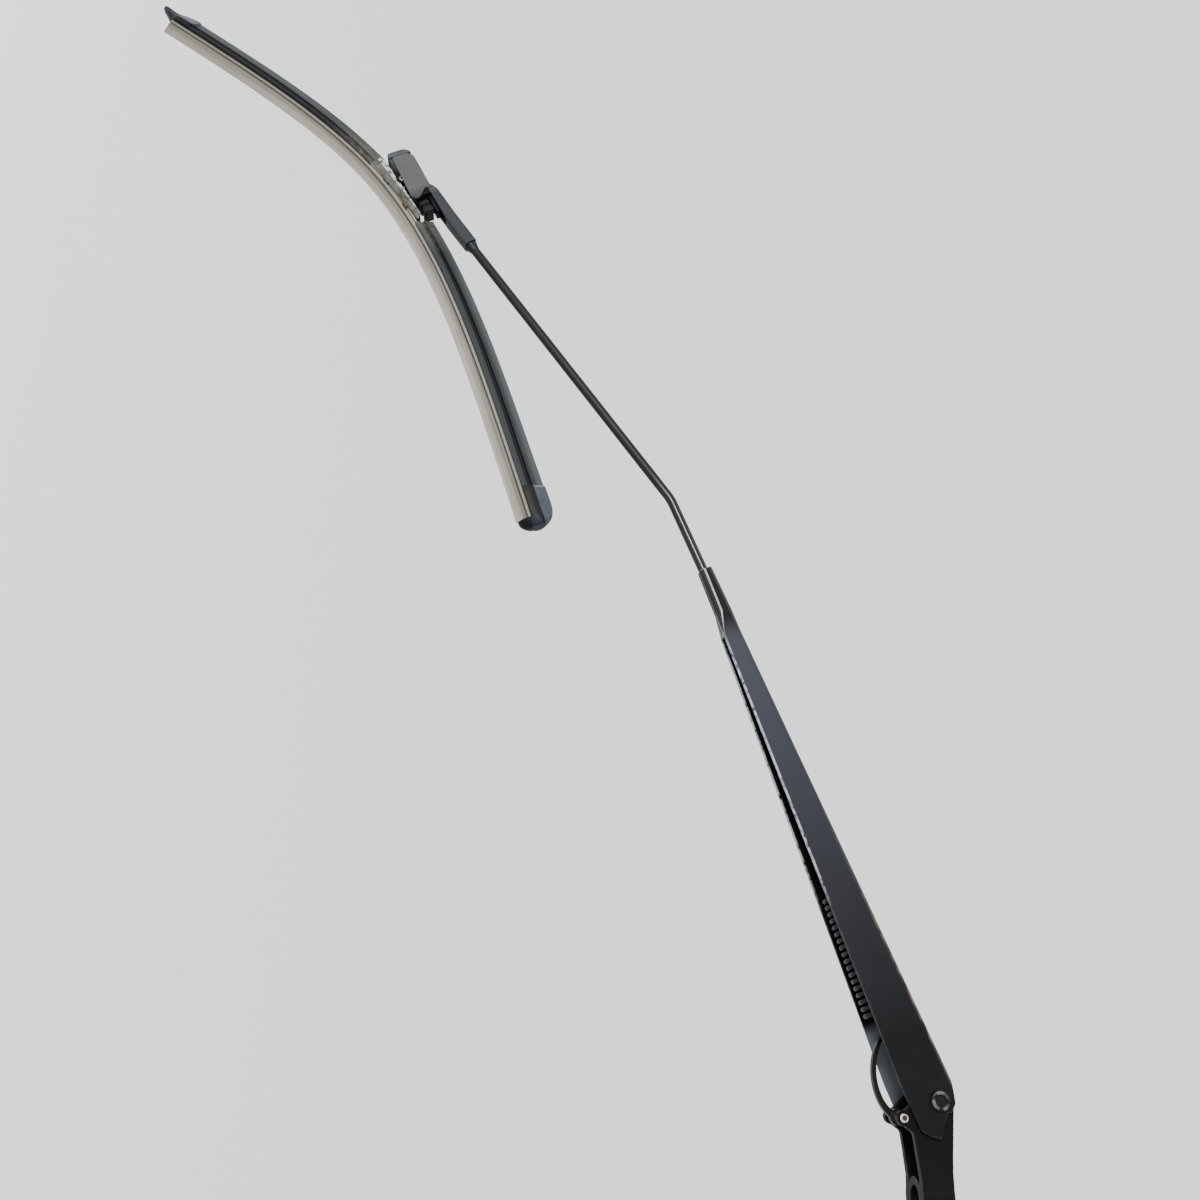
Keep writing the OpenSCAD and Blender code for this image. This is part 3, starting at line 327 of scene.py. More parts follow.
class Paint:
    """A material under construction: adds shader nodes and joins them."""

    def __init__(self, name: str) -> None:
        """Starts a material with one shader.

        Args:
            name: The material's name.
        """
        self.material = bpy.data.materials.new(name)
        self.material.use_nodes = True
        self.tree = self.material.node_tree
        self.shader = self.tree.nodes["Principled BSDF"]
        self.space = self.add("ShaderNodeTexCoord").outputs["Object"]

    def add(self, kind: str, settings: dict | None = None, links: dict | None = None) -> bpy.types.Node:
        """Adds one node with its settings and links.

        Args:
            kind: The node's type.
            settings: Input names or indices to values; a leading dot names a property of the node.
            links: Input names or indices to the sockets that feed them.

        Returns:
            The new node.
        """
        node = self.tree.nodes.new(kind)
        for key, value in (settings or {}).items():
            if isinstance(key, str) and key.startswith("."):
                setattr(node, key[1:], value)
            else:
                node.inputs[key].default_value = value
        for key, socket in (links or {}).items():
            self.tree.links.new(socket, node.inputs[key])
        return node

    def feed(self, socket: str, source: bpy.types.NodeSocket) -> None:
        """Feeds one of the shader's inputs from a socket."""
        self.tree.links.new(source, self.shader.inputs[socket])

    def set(self, socket: str, value: float | tuple) -> None:
        """Sets one of the shader's inputs to a constant."""
        self.shader.inputs[socket].default_value = value

    def noise(self, size_mm: float, detail: float = 4.0, rough: float = 0.55,
              stretch: tuple[float, float, float] = (1, 1, 1),
              space: bpy.types.NodeSocket | None = None) -> bpy.types.NodeSocket:
        """Adds noise whose marks have a real size.

        Args:
            size_mm: Size of the largest marks in mm.
            detail: Levels of finer marks.
            rough: Strength of the finer marks.
            stretch: How much finer the pattern is along each axis.
            space: Coordinates in metres, or None for the object's own.

        Returns:
            The noise's factor socket.
        """
        place = self.add("ShaderNodeVectorMath", {".operation": "MULTIPLY", 1: stretch},
                         {0: space or self.space})
        node = self.add("ShaderNodeTexNoise", {
            "Scale": 1 / (size_mm * MM), "Detail": detail, "Roughness": rough}, {"Vector": place.outputs[0]})
        return node.outputs["Fac"]

    def ramp(self, source: bpy.types.NodeSocket, low: float, high: float,
             out: tuple[float, float] = (0.0, 1.0)) -> bpy.types.NodeSocket:
        """Maps a range of values onto another, held at both ends.

        Args:
            source: The value to map.
            low: Value that gives the first output.
            high: Value that gives the second output.
            out: The two outputs.

        Returns:
            The mapped value's socket.
        """
        node = self.add("ShaderNodeMapRange", {
            ".clamp": True, "From Min": low, "From Max": high, "To Min": out[0], "To Max": out[1]},
            {"Value": source})
        return node.outputs["Result"]

    def math(self, operation: str, a: bpy.types.NodeSocket | float, b: bpy.types.NodeSocket | float,
             held: bool = True) -> bpy.types.NodeSocket:
        """Joins two values by arithmetic.

        Args:
            operation: The operation's name.
            a: First value or socket.
            b: Second value or socket.
            held: Whether a sum or a product is held between 0 and 1.

        Returns:
            The result's socket.
        """
        settings: dict = {".operation": operation, ".use_clamp": held and operation in ("MULTIPLY", "ADD")}
        links: dict = {}
        for key, value in ((0, a), (1, b)):
            (settings if isinstance(value, (int, float)) else links)[key] = value
        return self.add("ShaderNodeMath", settings, links).outputs[0]

    def mix(self, factor: bpy.types.NodeSocket, a: bpy.types.NodeSocket | str,
            b: bpy.types.NodeSocket | str) -> bpy.types.NodeSocket:
        """Mixes two colours.

        Args:
            factor: Share of the second colour.
            a: First colour, a socket or a hex code.
            b: Second colour, a socket or a hex code.

        Returns:
            The mixed colour's socket.
        """
        settings: dict = {".data_type": "RGBA"}
        links: dict = {0: factor}
        for key, value in ((6, a), (7, b)):
            if isinstance(value, str):
                settings[key] = linear(value)
            else:
                links[key] = value
        return self.add("ShaderNodeMix", settings, links).outputs[2]

    def attribute(self, measure: Attr) -> bpy.types.NodeSocket:
        """Reads one of the per-point measures."""
        return self.add("ShaderNodeAttribute", {".attribute_name": measure.value}).outputs["Fac"]

    def strip(self, *measures: bpy.types.NodeSocket) -> bpy.types.NodeSocket:
        """Turns one to three measures in mm into coordinates in metres, which follow a curved piece."""
        metres = {axis: self.math("DIVIDE", m, 1 / MM) for axis, m in enumerate(measures)}
        return self.add("ShaderNodeCombineXYZ", links=metres).outputs[0]

    def facing(self, axis: int) -> bpy.types.NodeSocket:
        """Gives how far the surface faces along axis 0, 1 or 2, from -1 to 1."""
        normal = self.add("ShaderNodeNewGeometry").outputs["Normal"]
        return self.add("ShaderNodeSeparateXYZ", links={0: normal}).outputs[axis]

    def band(self, source: bpy.types.NodeSocket, low: float, high: float,
             soft: float) -> bpy.types.NodeSocket:
        """Gives 1 inside a range of a measure and 0 outside, fading over soft mm to each side."""
        return self.math("MULTIPLY", self.ramp(source, low - soft, low + soft),
                         self.ramp(source, high + soft, high - soft))

    def edge_wear(self, radius_mm: float) -> bpy.types.NodeSocket:
        """Finds a piece's corners, where paint rubs thin.

        Args:
            radius_mm: How far from a corner the wear reaches, in mm.

        Returns:
            A socket that is 0 on flat faces and rises towards 1 at corners.
        """
        bevel = self.add("ShaderNodeBevel", {".samples": 4, "Radius": radius_mm * MM})
        flat = self.add("ShaderNodeNewGeometry").outputs["Normal"]
        dot = self.add("ShaderNodeVectorMath", {".operation": "DOT_PRODUCT"},
                       {0: bevel.outputs[0], 1: flat}).outputs["Value"]
        return self.ramp(dot, 0.995, 0.86)

    def bump(self, source: bpy.types.NodeSocket, depth_mm: float, round_mm: float) -> None:
        """Gives the surface relief.

        Args:
            source: The relief's height from 0 to 1.
            depth_mm: Height of the relief in mm.
            round_mm: Radius that the piece's edges are eased by in mm.
        """
        bevel = self.add("ShaderNodeBevel", {".samples": 4, "Radius": round_mm * MM})
        node = self.add("ShaderNodeBump", {"Strength": 0.8, "Distance": depth_mm * MM},
                        {"Height": source, "Normal": bevel.outputs[0]})
        self.feed("Normal", node.outputs[0])


# ---- Finishes ----


@dataclass(frozen=True)
class Finish:
    """What a material is made of; each kind of finish adds its own nodes."""

    name: str

    def coat(self, p: Paint) -> None:
        """Adds the finish's nodes to the material under construction."""
        raise NotImplementedError

    def build(self) -> bpy.types.Material:
        """Makes the material.

        Returns:
            The material.
        """
        p = Paint(self.name)
        self.coat(p)
        return p.material


@dataclass(frozen=True)
class Enamel(Finish):
    """Stove enamel on steel: a smooth dark film with dust in it and, where wear_mm isn't 0, thin edges."""

    colour: str
    dust: str
    worn: str
    roughness: float
    dust_share: float
    wear_mm: float
    sheen: float
    orange_peel_mm: float = 0.01

    def coat(self, p: Paint) -> None:
        """Adds the finish's nodes.

        Args:
            p: The material under construction.
        """
        cloud = p.noise(26, 5)
        fine = p.noise(1.6, 3)
        dusty = p.math("MULTIPLY", p.ramp(cloud, 0.35, 0.75), self.dust_share)
        colour = p.mix(dusty, self.colour, self.dust)
        if self.wear_mm:
            rubbed = p.math("MULTIPLY", p.edge_wear(self.wear_mm), p.ramp(p.noise(5, 5), 0.35, 0.62))
            colour = p.mix(rubbed, colour, self.worn)
        p.feed("Base Color", colour)
        p.feed("Roughness", p.math("ADD", p.ramp(cloud, 0.3, 0.7, (0.0, 0.14)), self.roughness))
        p.set("Specular IOR Level", self.sheen)
        p.bump(fine, self.orange_peel_mm, 0.25)


@dataclass(frozen=True)
class RodEnamel(Finish):
    """Gloss enamel on the drawn rod, dulled by weather beyond its bend."""

    gloss: str
    dull: str
    roughness: float = 0.1
    dull_roughness: float = 0.42
    dull_from: float = -8.0
    dull_full: float = 18.0

    def coat(self, p: Paint) -> None:
        """Adds the finish's nodes.

        Args:
            p: The material under construction.
        """
        beyond = p.ramp(p.attribute(Attr.ALONG), self.dull_from, self.dull_full)
        dusty = p.math("MULTIPLY", beyond, p.ramp(p.noise(26, 5), 0.3, 0.7, (0.7, 1.0)))
        p.feed("Base Color", p.mix(dusty, self.gloss, self.dull))
        p.feed("Roughness", p.ramp(beyond, 0, 1, (self.roughness, self.dull_roughness)))
        p.feed("Specular IOR Level", p.ramp(beyond, 0, 1, (0.26, 0.12)))
        p.bump(p.noise(1.6, 3), 0.008, 0.25)


@dataclass(frozen=True)
class ChannelEnamel(Finish):
    """The channel's enamel: black at the hinge and lightened to blue-grey outwards by a painted reflection,
    with painted light on its inner faces near the hinge, and glossy on the crimp.
    """

    deep: str
    painted_sheen: str
    inside: str
    dust: str
    worn: str
    painted_sheen_from: float = 30.0
    painted_sheen_to: float = 215.0
    inside_to: float = 36.0
    inside_fade: float = 5.0
    fold_low: float = 8.0
    fold_high: float = 9.4
    crimp_from: float = 244.0
    crimp_fade: float = 14.0
    edge_from: float = 12.0
    edge_to: float = 248.0
    edge_low: float = -14.1
    edge_high: float = 1.0
    lip_from: float = 110.0
    lip_to: float = 243.0

    def coat(self, p: Paint) -> None:
        """Adds the finish's nodes.

        Args:
            p: The material under construction.
        """
        along, height, across = (p.attribute(m) for m in (Attr.ALONG, Attr.HEIGHT, Attr.ACROSS))
        cloud, fine = p.noise(30, 5), p.noise(1.4, 3)
        # Painted reflection: the black enamel is mixed towards blue-grey further from the hinge, standing in
        # for the sheen there
        painted_sheen_share = p.math("ADD", p.ramp(along, self.painted_sheen_from, self.painted_sheen_to, (0.0, 0.9)),
                         p.ramp(cloud, 0.4, 0.7, (0.0, 0.1)))
        colour = p.mix(painted_sheen_share, self.deep, self.painted_sheen)
        # Painted light: the walls' inner faces near the hinge take a lighter grey, as if lit; further out
        # they keep the black
        outward = p.math("MULTIPLY", p.facing(1), across, held=False)
        outwards = p.ramp(along, self.inside_to, self.inside_to + self.inside_fade)
        inner_painted_light = p.mix(outwards, self.inside, self.deep)
        colour = p.mix(p.ramp(outward, -1.0, -2.5), colour, inner_painted_light)
        # Painted reflection: a brown band, in the colour named dust, along the walls' rounded fold, strongest
        # near the hinge
        painted_fold_reflection = p.math("MULTIPLY", p.ramp(height, self.fold_low, self.fold_high), p.ramp(along, 150, 40))
        colour = p.mix(p.math("MULTIPLY", painted_fold_reflection, p.ramp(p.noise(6, 5), 0.35, 0.6)), colour, self.dust)
        on_crimp = p.ramp(along, self.crimp_from, self.crimp_from + self.crimp_fade)
        colour = p.mix(on_crimp, colour, self.deep)
        rubbed = p.math("MULTIPLY", p.edge_wear(0.5), p.ramp(p.noise(7, 5), 0.3, 0.55))
        colour = p.mix(p.math("MULTIPLY", rubbed, p.ramp(along, 40, 110, (0.2, 0.8))), colour, self.worn)
        # Partly rubbed paint and partly a painted highlight: the worn colour is laid in a broken band along
        # the walls' lower edge
        rise = p.ramp(along, self.edge_from, self.edge_to, (self.edge_low, self.edge_high))
        above = p.math("SUBTRACT", height, rise)
        lip = p.band(above, -0.6, 0.75, 0.2)
        lip = p.math("MULTIPLY", lip, p.band(along, self.lip_from, self.lip_to, 12))
        lip = p.math("MULTIPLY", lip, p.ramp(p.noise(3, 5), 0.36, 0.52))
        p.feed("Base Color", p.mix(lip, colour, self.worn))
        satin = p.ramp(on_crimp, 0, 1, (0.42, 0.1))
        p.feed("Roughness", p.math("ADD", satin, p.ramp(cloud, 0.35, 0.7, (0.0, 0.08))))
        p.feed("Specular IOR Level", p.ramp(on_crimp, 0, 1, (0.1, 0.2)))
        ripple = p.math("MULTIPLY", p.noise(9, 2, 0.5), on_crimp)
        p.bump(p.math("ADD", p.math("MULTIPLY", fine, 0.04), ripple), 0.25, 0.3)


@dataclass(frozen=True)
class RivetPaint(Finish):
    """Black enamel on turned hardware, with a pale painted highlight in a broken ring."""

    colour: str
    ring: str
    ring_low: float
    ring_high: float
    roughness: float = 0.4

    def coat(self, p: Paint) -> None:
        """Adds the finish's nodes.

        Args:
            p: The material under construction.
        """
        radius, patch = p.attribute(Attr.RADIUS), p.noise(4, 4)
        # Painted highlight: a pale ring round the head, broken up by noise
        ring = p.band(radius, self.ring_low, self.ring_high, 0.25)
        rubbed = p.math("MULTIPLY", ring, p.ramp(patch, 0.46, 0.6))
        p.feed("Base Color", p.mix(rubbed, self.colour, self.ring))
        p.set("Roughness", self.roughness)
        p.set("Specular IOR Level", 0.15)
        p.bump(p.noise(0.9, 3), 0.02, 0.25)


@dataclass(frozen=True)
class TurnedPlating(Finish):
    """Bright plating on a pin, with a black disc of painted shade at the centre of its end."""

    colour: str
    centre: str
    centre_r: float

    def coat(self, p: Paint) -> None:
        """Adds the finish's nodes.

        Args:
            p: The material under construction.
        """
        # Painted shade: a black disc at the middle of the pin's end, where it looks hollow
        inner = p.ramp(p.attribute(Attr.RADIUS), self.centre_r + 0.2, self.centre_r - 0.2)
        p.feed("Base Color", p.mix(inner, self.colour, self.centre))
        p.feed("Metallic", p.ramp(inner, 0, 1, (1.0, 0.0)))
        p.set("Roughness", 0.28)
        p.bump(p.noise(1.2, 3), 0.01, 0.2)


@dataclass(frozen=True)
class HoodPaint(Finish):
    """Grey paint of the end fitting: lighter on the hood's flanks, darker down the sleeve."""

    hood_grey: str
    dark: str
    worn: str
    sleeve_to: float = -19.0
    hood_from: float = -11.0

    def coat(self, p: Paint) -> None:
        """Adds the finish's nodes.

        Args:
            p: The material under construction.
        """
        along, cloud, grain = p.attribute(Attr.ALONG), p.noise(9, 5), p.noise(0.8, 4)
        # Lighter on the hood than down the sleeve, mixed by distance along the fitting and by noise
        on_hood = p.math("MULTIPLY", p.ramp(along, self.sleeve_to, self.hood_from),
                         p.ramp(cloud, 0.25, 0.7, (0.75, 1.0)))
        colour = p.mix(on_hood, self.dark, self.hood_grey)
        colour = p.mix(p.math("MULTIPLY", p.ramp(grain, 0.5, 0.75), 0.22), colour, self.worn)
        rubbed = p.math("MULTIPLY", p.edge_wear(0.4), p.ramp(p.noise(4, 5), 0.4, 0.6))
        p.feed("Base Color", p.mix(p.math("MULTIPLY", rubbed, 0.6), colour, self.worn))
        p.set("Roughness", 0.66)
        p.set("Specular IOR Level", 0.15)
        p.bump(grain, 0.03, 0.35)


@dataclass(frozen=True)
class Plating(Finish):
    """Bright plating on steel, dulled by weather."""

    colour: str
    dull: str
    roughness: float

    def coat(self, p: Paint) -> None:
        """Adds the finish's nodes.

        Args:
            p: The material under construction.
        """
        spots = p.noise(1.5, 4)
        p.feed("Base Color", p.mix(p.ramp(spots, 0.45, 0.65), self.colour, self.dull))
        p.set("Metallic", 1.0)
        p.feed("Roughness", p.ramp(spots, 0.3, 0.7, (self.roughness, self.roughness + 0.25)))
        p.bump(spots, 0.01, 0.2)


@dataclass(frozen=True)
class Moulding(Finish):
    """Moulded plastic, greyed by sun and road film."""

    colour: str
    film: str
    roughness: float
    film_share: float

    def coat(self, p: Paint) -> None:
        """Adds the finish's nodes.

        Args:
            p: The material under construction.
        """
        cloud = p.noise(7, 5)
        p.feed("Base Color", p.mix(p.math("MULTIPLY", p.ramp(cloud, 0.35, 0.7), self.film_share),
                                   self.colour, self.film))
        p.feed("Roughness", p.ramp(cloud, 0.3, 0.7, (self.roughness, self.roughness + 0.15)))
        p.set("Specular IOR Level", 0.15)
        p.bump(p.noise(0.5, 3), 0.012, 0.3)


@dataclass(frozen=True)
class AdapterMoulding(Finish):
    """The adapter's moulding: blue-grey where the nose sees the sun, black painted shade inside the hood."""

    nose: str
    shade: str
    nose_from: float = 14.5
    nose_fade: float = 10.0

    def coat(self, p: Paint) -> None:
        """Adds the finish's nodes.

        Args:
            p: The material under construction.
        """
        along, cloud = p.attribute(Attr.ALONG), p.noise(5, 5)
        # Painted shade: black inside the hood, fading into the nose's blue-grey
        out = p.math("MULTIPLY", p.ramp(along, self.nose_from - self.nose_fade, self.nose_from),
                     p.ramp(cloud, 0.3, 0.65, (0.7, 1.0)))
        p.feed("Base Color", p.mix(out, self.shade, self.nose))
        p.feed("Roughness", p.ramp(cloud, 0.3, 0.7, (0.5, 0.7)))
        p.set("Specular IOR Level", 0.1)
        p.bump(p.noise(0.5, 3), 0.012, 0.3)


@dataclass(frozen=True)
class OxidisedCasting(Finish):
    """Zinc die casting whose grey paint has flaked to white oxide, with rust at the claws."""

    paint: str
    oxide: str
    dirt: str
    rust: str
    oxide_from: float = -5.2
    oxide_wander: float = 3.4
    oxide_rear: float = -30.6
    outer_claw: tuple[float, float] = (0.5, 8.0)
    inner_claw: tuple[float, float] = (-21.0, -13.0)
    rust_from: float = -7.2
    rust_full: float = -8.4

    def coat(self, p: Paint) -> None:
        """Adds the finish's nodes.

        Args:
            p: The material under construction.
        """
        height, along = p.attribute(Attr.HEIGHT), p.attribute(Attr.ALONG)
        wander = p.math("MULTIPLY", p.noise(7, 4), self.oxide_wander)
        edge = p.math("ADD", height, wander, held=False)
        flakes = p.ramp(p.noise(2.2, 6, 0.62), 0.42, 0.5)
        white = p.math("MULTIPLY", p.ramp(edge, self.oxide_from + 1.0, self.oxide_from + 1.5), flakes)
        white = p.math("MULTIPLY", white, p.ramp(along, self.oxide_rear, self.oxide_rear + 0.6))
        colour = p.mix(p.ramp(p.noise(6, 5), 0.35, 0.65), self.paint, self.dirt)
        colour = p.mix(white, colour, self.oxide)
        colour = p.mix(p.ramp(p.facing(2), 0.6, 0.8, (0.0, 0.8)), colour, self.dirt)
        faint = p.math("MULTIPLY", p.band(along, *self.outer_claw, 1.5), 0.35)
        claws = p.math("ADD", faint, p.band(along, *self.inner_claw, 1.5))
        rusty = p.math("MULTIPLY", claws, p.ramp(height, self.rust_from, self.rust_full))
        rusty = p.math("MULTIPLY", rusty, p.ramp(p.noise(2.5, 5), 0.4, 0.5))
        p.feed("Base Color", p.mix(rusty, colour, self.rust))
        p.set("Roughness", 0.82)
        p.set("Specular IOR Level", 0.2)
        p.bump(flakes, 0.12, 0.25)


@dataclass(frozen=True)
class WipingRubber(Finish):
    """Extruded rubber, bleached and dusty, streaked along its length."""

    pale: str
    grey: str
    neck: str
    crown: str
    neck_low: float = 6.15
    neck_high: float = 7.05
    wedge_line: tuple[float, float] = (4.35, 4.6)
    crown_line: tuple[float, float] = (8.15, 8.4)
    grey_from: float = -60.0
    grey_to: float = 160.0

    def coat(self, p: Paint) -> None:
        """Adds the finish's nodes.

        Args:
            p: The material under construction.
        """
        along, height, across = (p.attribute(m) for m in (Attr.ALONG, Attr.HEIGHT, Attr.ACROSS))
        strip = p.strip(along, height, across)
        streak = p.noise(1.3, 4, 0.6, (0.02, 1.0, 1.0), strip)
        patch = p.noise(24, 4, 0.5, (1.0, 1.6, 1.0), strip)
        worn = p.math("ADD", p.ramp(height, 0.5, 5.6, (0.0, 0.75)),
                      p.ramp(streak, 0.35, 0.65, (-0.15, 0.3)))
        colour = p.mix(worn, self.pale, self.grey)
        colour = p.mix(p.ramp(patch, 0.5, 0.8, (0.0, 0.35)), colour, self.grey)
        lines = p.math("ADD", p.band(height, *self.wedge_line, 0.12), p.band(height, *self.crown_line, 0.12))
        lined = p.math("MULTIPLY", lines, p.ramp(patch, 0.3, 0.6, (0.15, 0.45)))
        colour = p.mix(lined, colour, self.neck)
        colour = p.mix(p.ramp(height, self.neck_high, self.neck_high + 0.6), colour, self.crown)
        colour = p.mix(p.ramp(along, self.grey_from, self.grey_to, (0.0, 0.5)), colour, self.grey)
        in_neck = p.math("MULTIPLY", p.band(height, self.neck_low, self.neck_high, 0.15),
                         p.ramp(patch, 0.3, 0.65, (0.25, 0.75)))
        p.feed("Base Color", p.mix(in_neck, colour, self.neck))
        p.set("Roughness", 0.8)
        p.set("Specular IOR Level", 0.2)
        p.bump(streak, 0.04, 0.15)


@dataclass(frozen=True)
class SpoilerRubber(Finish):
    """Extruded spoiler rubber: dark foot, black painted shade in the groove, and a hollow face painted
    lighter towards its crest as a painted highlight.
    """

    foot: str
    groove: str
    face: str
    crest: str
    dust: str
    dust_from: float
    dust_to: float
    crest_highlight_from: float = 14.4
    crest_highlight_full: float = 19.0
    groove_top: float = 14.9
    foot_top: float = 12.3
    shade_full: float = 40.0
    shade_to: float = 90.0

    def coat(self, p: Paint) -> None:
        """Adds the finish's nodes.

        Args:
            p: The material under construction.
        """
        along, height = p.attribute(Attr.ALONG), p.attribute(Attr.HEIGHT)
        strip = p.strip(along, height)
        streak = p.noise(3, 5, 0.6, (0.04, 1.0, 1.0), strip)
        # Painted highlight: the hollow face is painted lighter towards its crest
        shifted = p.math("ADD", height, p.ramp(along, 0, 1, (0.0, 0.4)), held=False)
        crest_highlight = p.ramp(shifted, self.crest_highlight_from, self.crest_highlight_full, (0.0, 0.9))
        crest_highlight = p.math("ADD", crest_highlight, p.ramp(streak, 0.35, 0.7, (-0.1, 0.15)))
        colour = p.mix(crest_highlight, self.face, self.crest)
        # Painted shade: black in the groove above the foot, weaker on the outer half; the outer half's foot
        # is also mixed towards this black
        painted_groove_shade = p.ramp(height, self.groove_top, self.groove_top - 0.7)
        painted_groove_shade = p.math("MULTIPLY", painted_groove_shade, p.ramp(along, 0, 1, (1.0, 0.3)))
        colour = p.mix(painted_groove_shade, colour, self.groove)
        outside = p.ramp(along, 0, 1, (0.0, 0.75))
        on_foot = p.ramp(height, self.foot_top, self.foot_top - 0.3)
        colour = p.mix(on_foot, colour, p.mix(outside, self.foot, self.groove))
        away = p.math("ABSOLUTE", along, 0.0)
        near = p.ramp(away, self.dust_to, self.dust_from)
        shaded = p.ramp(away, self.shade_to, self.shade_full, (0.0, 0.7))
        shaded = p.math("MULTIPLY", shaded, p.ramp(height, 16, 18))
        colour = p.mix(shaded, colour, self.face)
        dusty = p.math("MULTIPLY", p.math("MULTIPLY", near, p.ramp(p.noise(4, 5), 0.25, 0.75)), 0.6)
        p.feed("Base Color", p.mix(dusty, colour, self.dust))
        p.set("Roughness", 0.6)
        p.set("Specular IOR Level", 0.12)
        p.bump(p.noise(0.9, 3), 0.02, 0.2)


@dataclass(frozen=True)
class CapMoulding(Finish):
    """End cap moulding: blue-grey upper face, olive skirt and a pale scuff, with black painted shade in its
    hollows and at its end, and a painted highlight oval on the end.
    """

    face: str
    skirt: str
    shade: str
    scuff: str
    oval_highlight: str
    scuff_at: float
    end_from: float
    hollow_at: float
    face_from: float
    face_fade: float = 0.15
    scuff_half: float = 0.25
    hollow_half: float = 1.8
    hollow_low: float = 12.9
    hollow_high: float = 15.6
    end_fade: float = 0.8
    oval_highlight_r: float = 3.9
    oval_highlight_fade: float = 0.6

    def coat(self, p: Paint) -> None:
        """Adds the finish's nodes.

        Args:
            p: The material under construction.
        """
        along, height, radius = (p.attribute(m) for m in (Attr.ALONG, Attr.HEIGHT, Attr.RADIUS))
        cloud = p.noise(5, 5)
        colour = p.mix(p.ramp(cloud, 0.35, 0.7, (0.0, 0.35)), self.face, self.skirt)
        below = p.ramp(height, self.face_from + self.face_fade, self.face_from - self.face_fade)
        colour = p.mix(below, colour, self.skirt)
        scuffed = p.band(along, self.scuff_at - self.scuff_half, self.scuff_at + self.scuff_half, 0.15)
        scuffed = p.math("MULTIPLY", scuffed, p.ramp(height, 15.0, 16.0))
        colour = p.mix(scuffed, colour, self.scuff)
        tongue = p.math("MULTIPLY", p.ramp(along, self.hollow_at, self.hollow_at + 1.0), 0.8)
        colour = p.mix(tongue, colour, self.skirt)
        # Painted shade: black in the hollow behind the outer cap's hump
        hollow = p.band(along, self.hollow_at - self.hollow_half, self.hollow_at + self.hollow_half, 0.5)
        hollow = p.math("MULTIPLY", hollow, p.band(height, self.hollow_low, self.hollow_high, 0.5))
        colour = p.mix(hollow, colour, self.shade)
        # Painted shade: black on the end of the inner cap, below its lip
        past = p.ramp(along, self.end_from, self.end_from - self.end_fade)
        under_lip = p.ramp(height, self.hollow_high, self.hollow_high - 0.8)
        colour = p.mix(p.math("MULTIPLY", past, under_lip), colour, self.shade)
        # Painted highlight: a bluish oval laid on the end of the cap
        in_oval_highlight = p.ramp(radius, self.oval_highlight_r, self.oval_highlight_r - self.oval_highlight_fade)
        p.feed("Base Color", p.mix(p.math("MULTIPLY", past, in_oval_highlight), colour, self.oval_highlight))
        p.set("Roughness", 0.5)
        p.set("Specular IOR Level", 0.1)
        p.bump(p.noise(0.7, 3), 0.012, 0.3)


# ---- Sub-assemblies ----


@dataclass(frozen=True)
class RubberSection:
    """Sizes of the wiping rubber and of the rails in it, in mm."""

    wedge_h: float = 6.2
    wedge_w: float = 5.6
    lip_w: float = 0.8
    neck_h: float = 0.9
    neck_w: float = 1.2
    crown_h: float = 2.1
    crown_w: float = 6.6
    head_h: float = 1.3
    head_w: float = 5.2
    rail_t: float = 0.9
    groove_deep: float = 1.3
    gap: float = 0.1

    @property
    def rail_h(self) -> float:
        """Height of the rails' underside above the lip."""
        return self.wedge_h + self.neck_h + self.crown_h + self.gap

    def outline(self) -> list[tuple[float, float]]:
        """Draws the section.

        Returns:
            Points across and up, in mm, anticlockwise from the lip.
        """
        w, n, c = self.wedge_h, self.wedge_h + self.neck_h, self.wedge_h + self.neck_h + self.crown_h
        top = self.rail_h + self.rail_t + self.gap
        groove = self.head_w / 2 - self.groove_deep - self.gap
        half = [
            (self.lip_w / 2 - 0.1, 0.0), (self.lip_w / 2, 0.15), (self.lip_w / 2 + 0.1, 0.9),
            (self.wedge_w * 0.2, w * 0.33), (self.wedge_w * 0.27, w * 0.46), (self.wedge_w * 0.29, w * 0.6),
            (self.wedge_w * 0.36, w * 0.74), (self.wedge_w * 0.47, w * 0.86), (self.wedge_w / 2, w * 0.91),
            (self.wedge_w / 2, w - 0.15), (self.wedge_w / 2 - 0.15, w), (self.neck_w / 2 + 0.2, w + 0.05),
            (self.neck_w / 2, w + 0.2), (self.neck_w / 2, n - 0.2), (self.neck_w / 2 + 0.2, n - 0.05),
            (self.crown_w / 2 - 0.35, n), (self.crown_w / 2 - 0.05, n + 0.25), (self.crown_w / 2, n + 0.9),
            (self.crown_w / 2 - 0.22, n + 1.1), (self.crown_w / 2, n + 1.3), (self.crown_w / 2, c - 0.1),
            (self.crown_w / 2 - 0.1, c), (groove, c), (groove, top), (self.head_w / 2, top),
            (self.head_w / 2 - 0.1, top + self.head_h * 0.5), (self.head_w / 2 - 0.5, top + self.head_h),
        ]
        return half + [(-y, h) for y, h in reversed(half)]


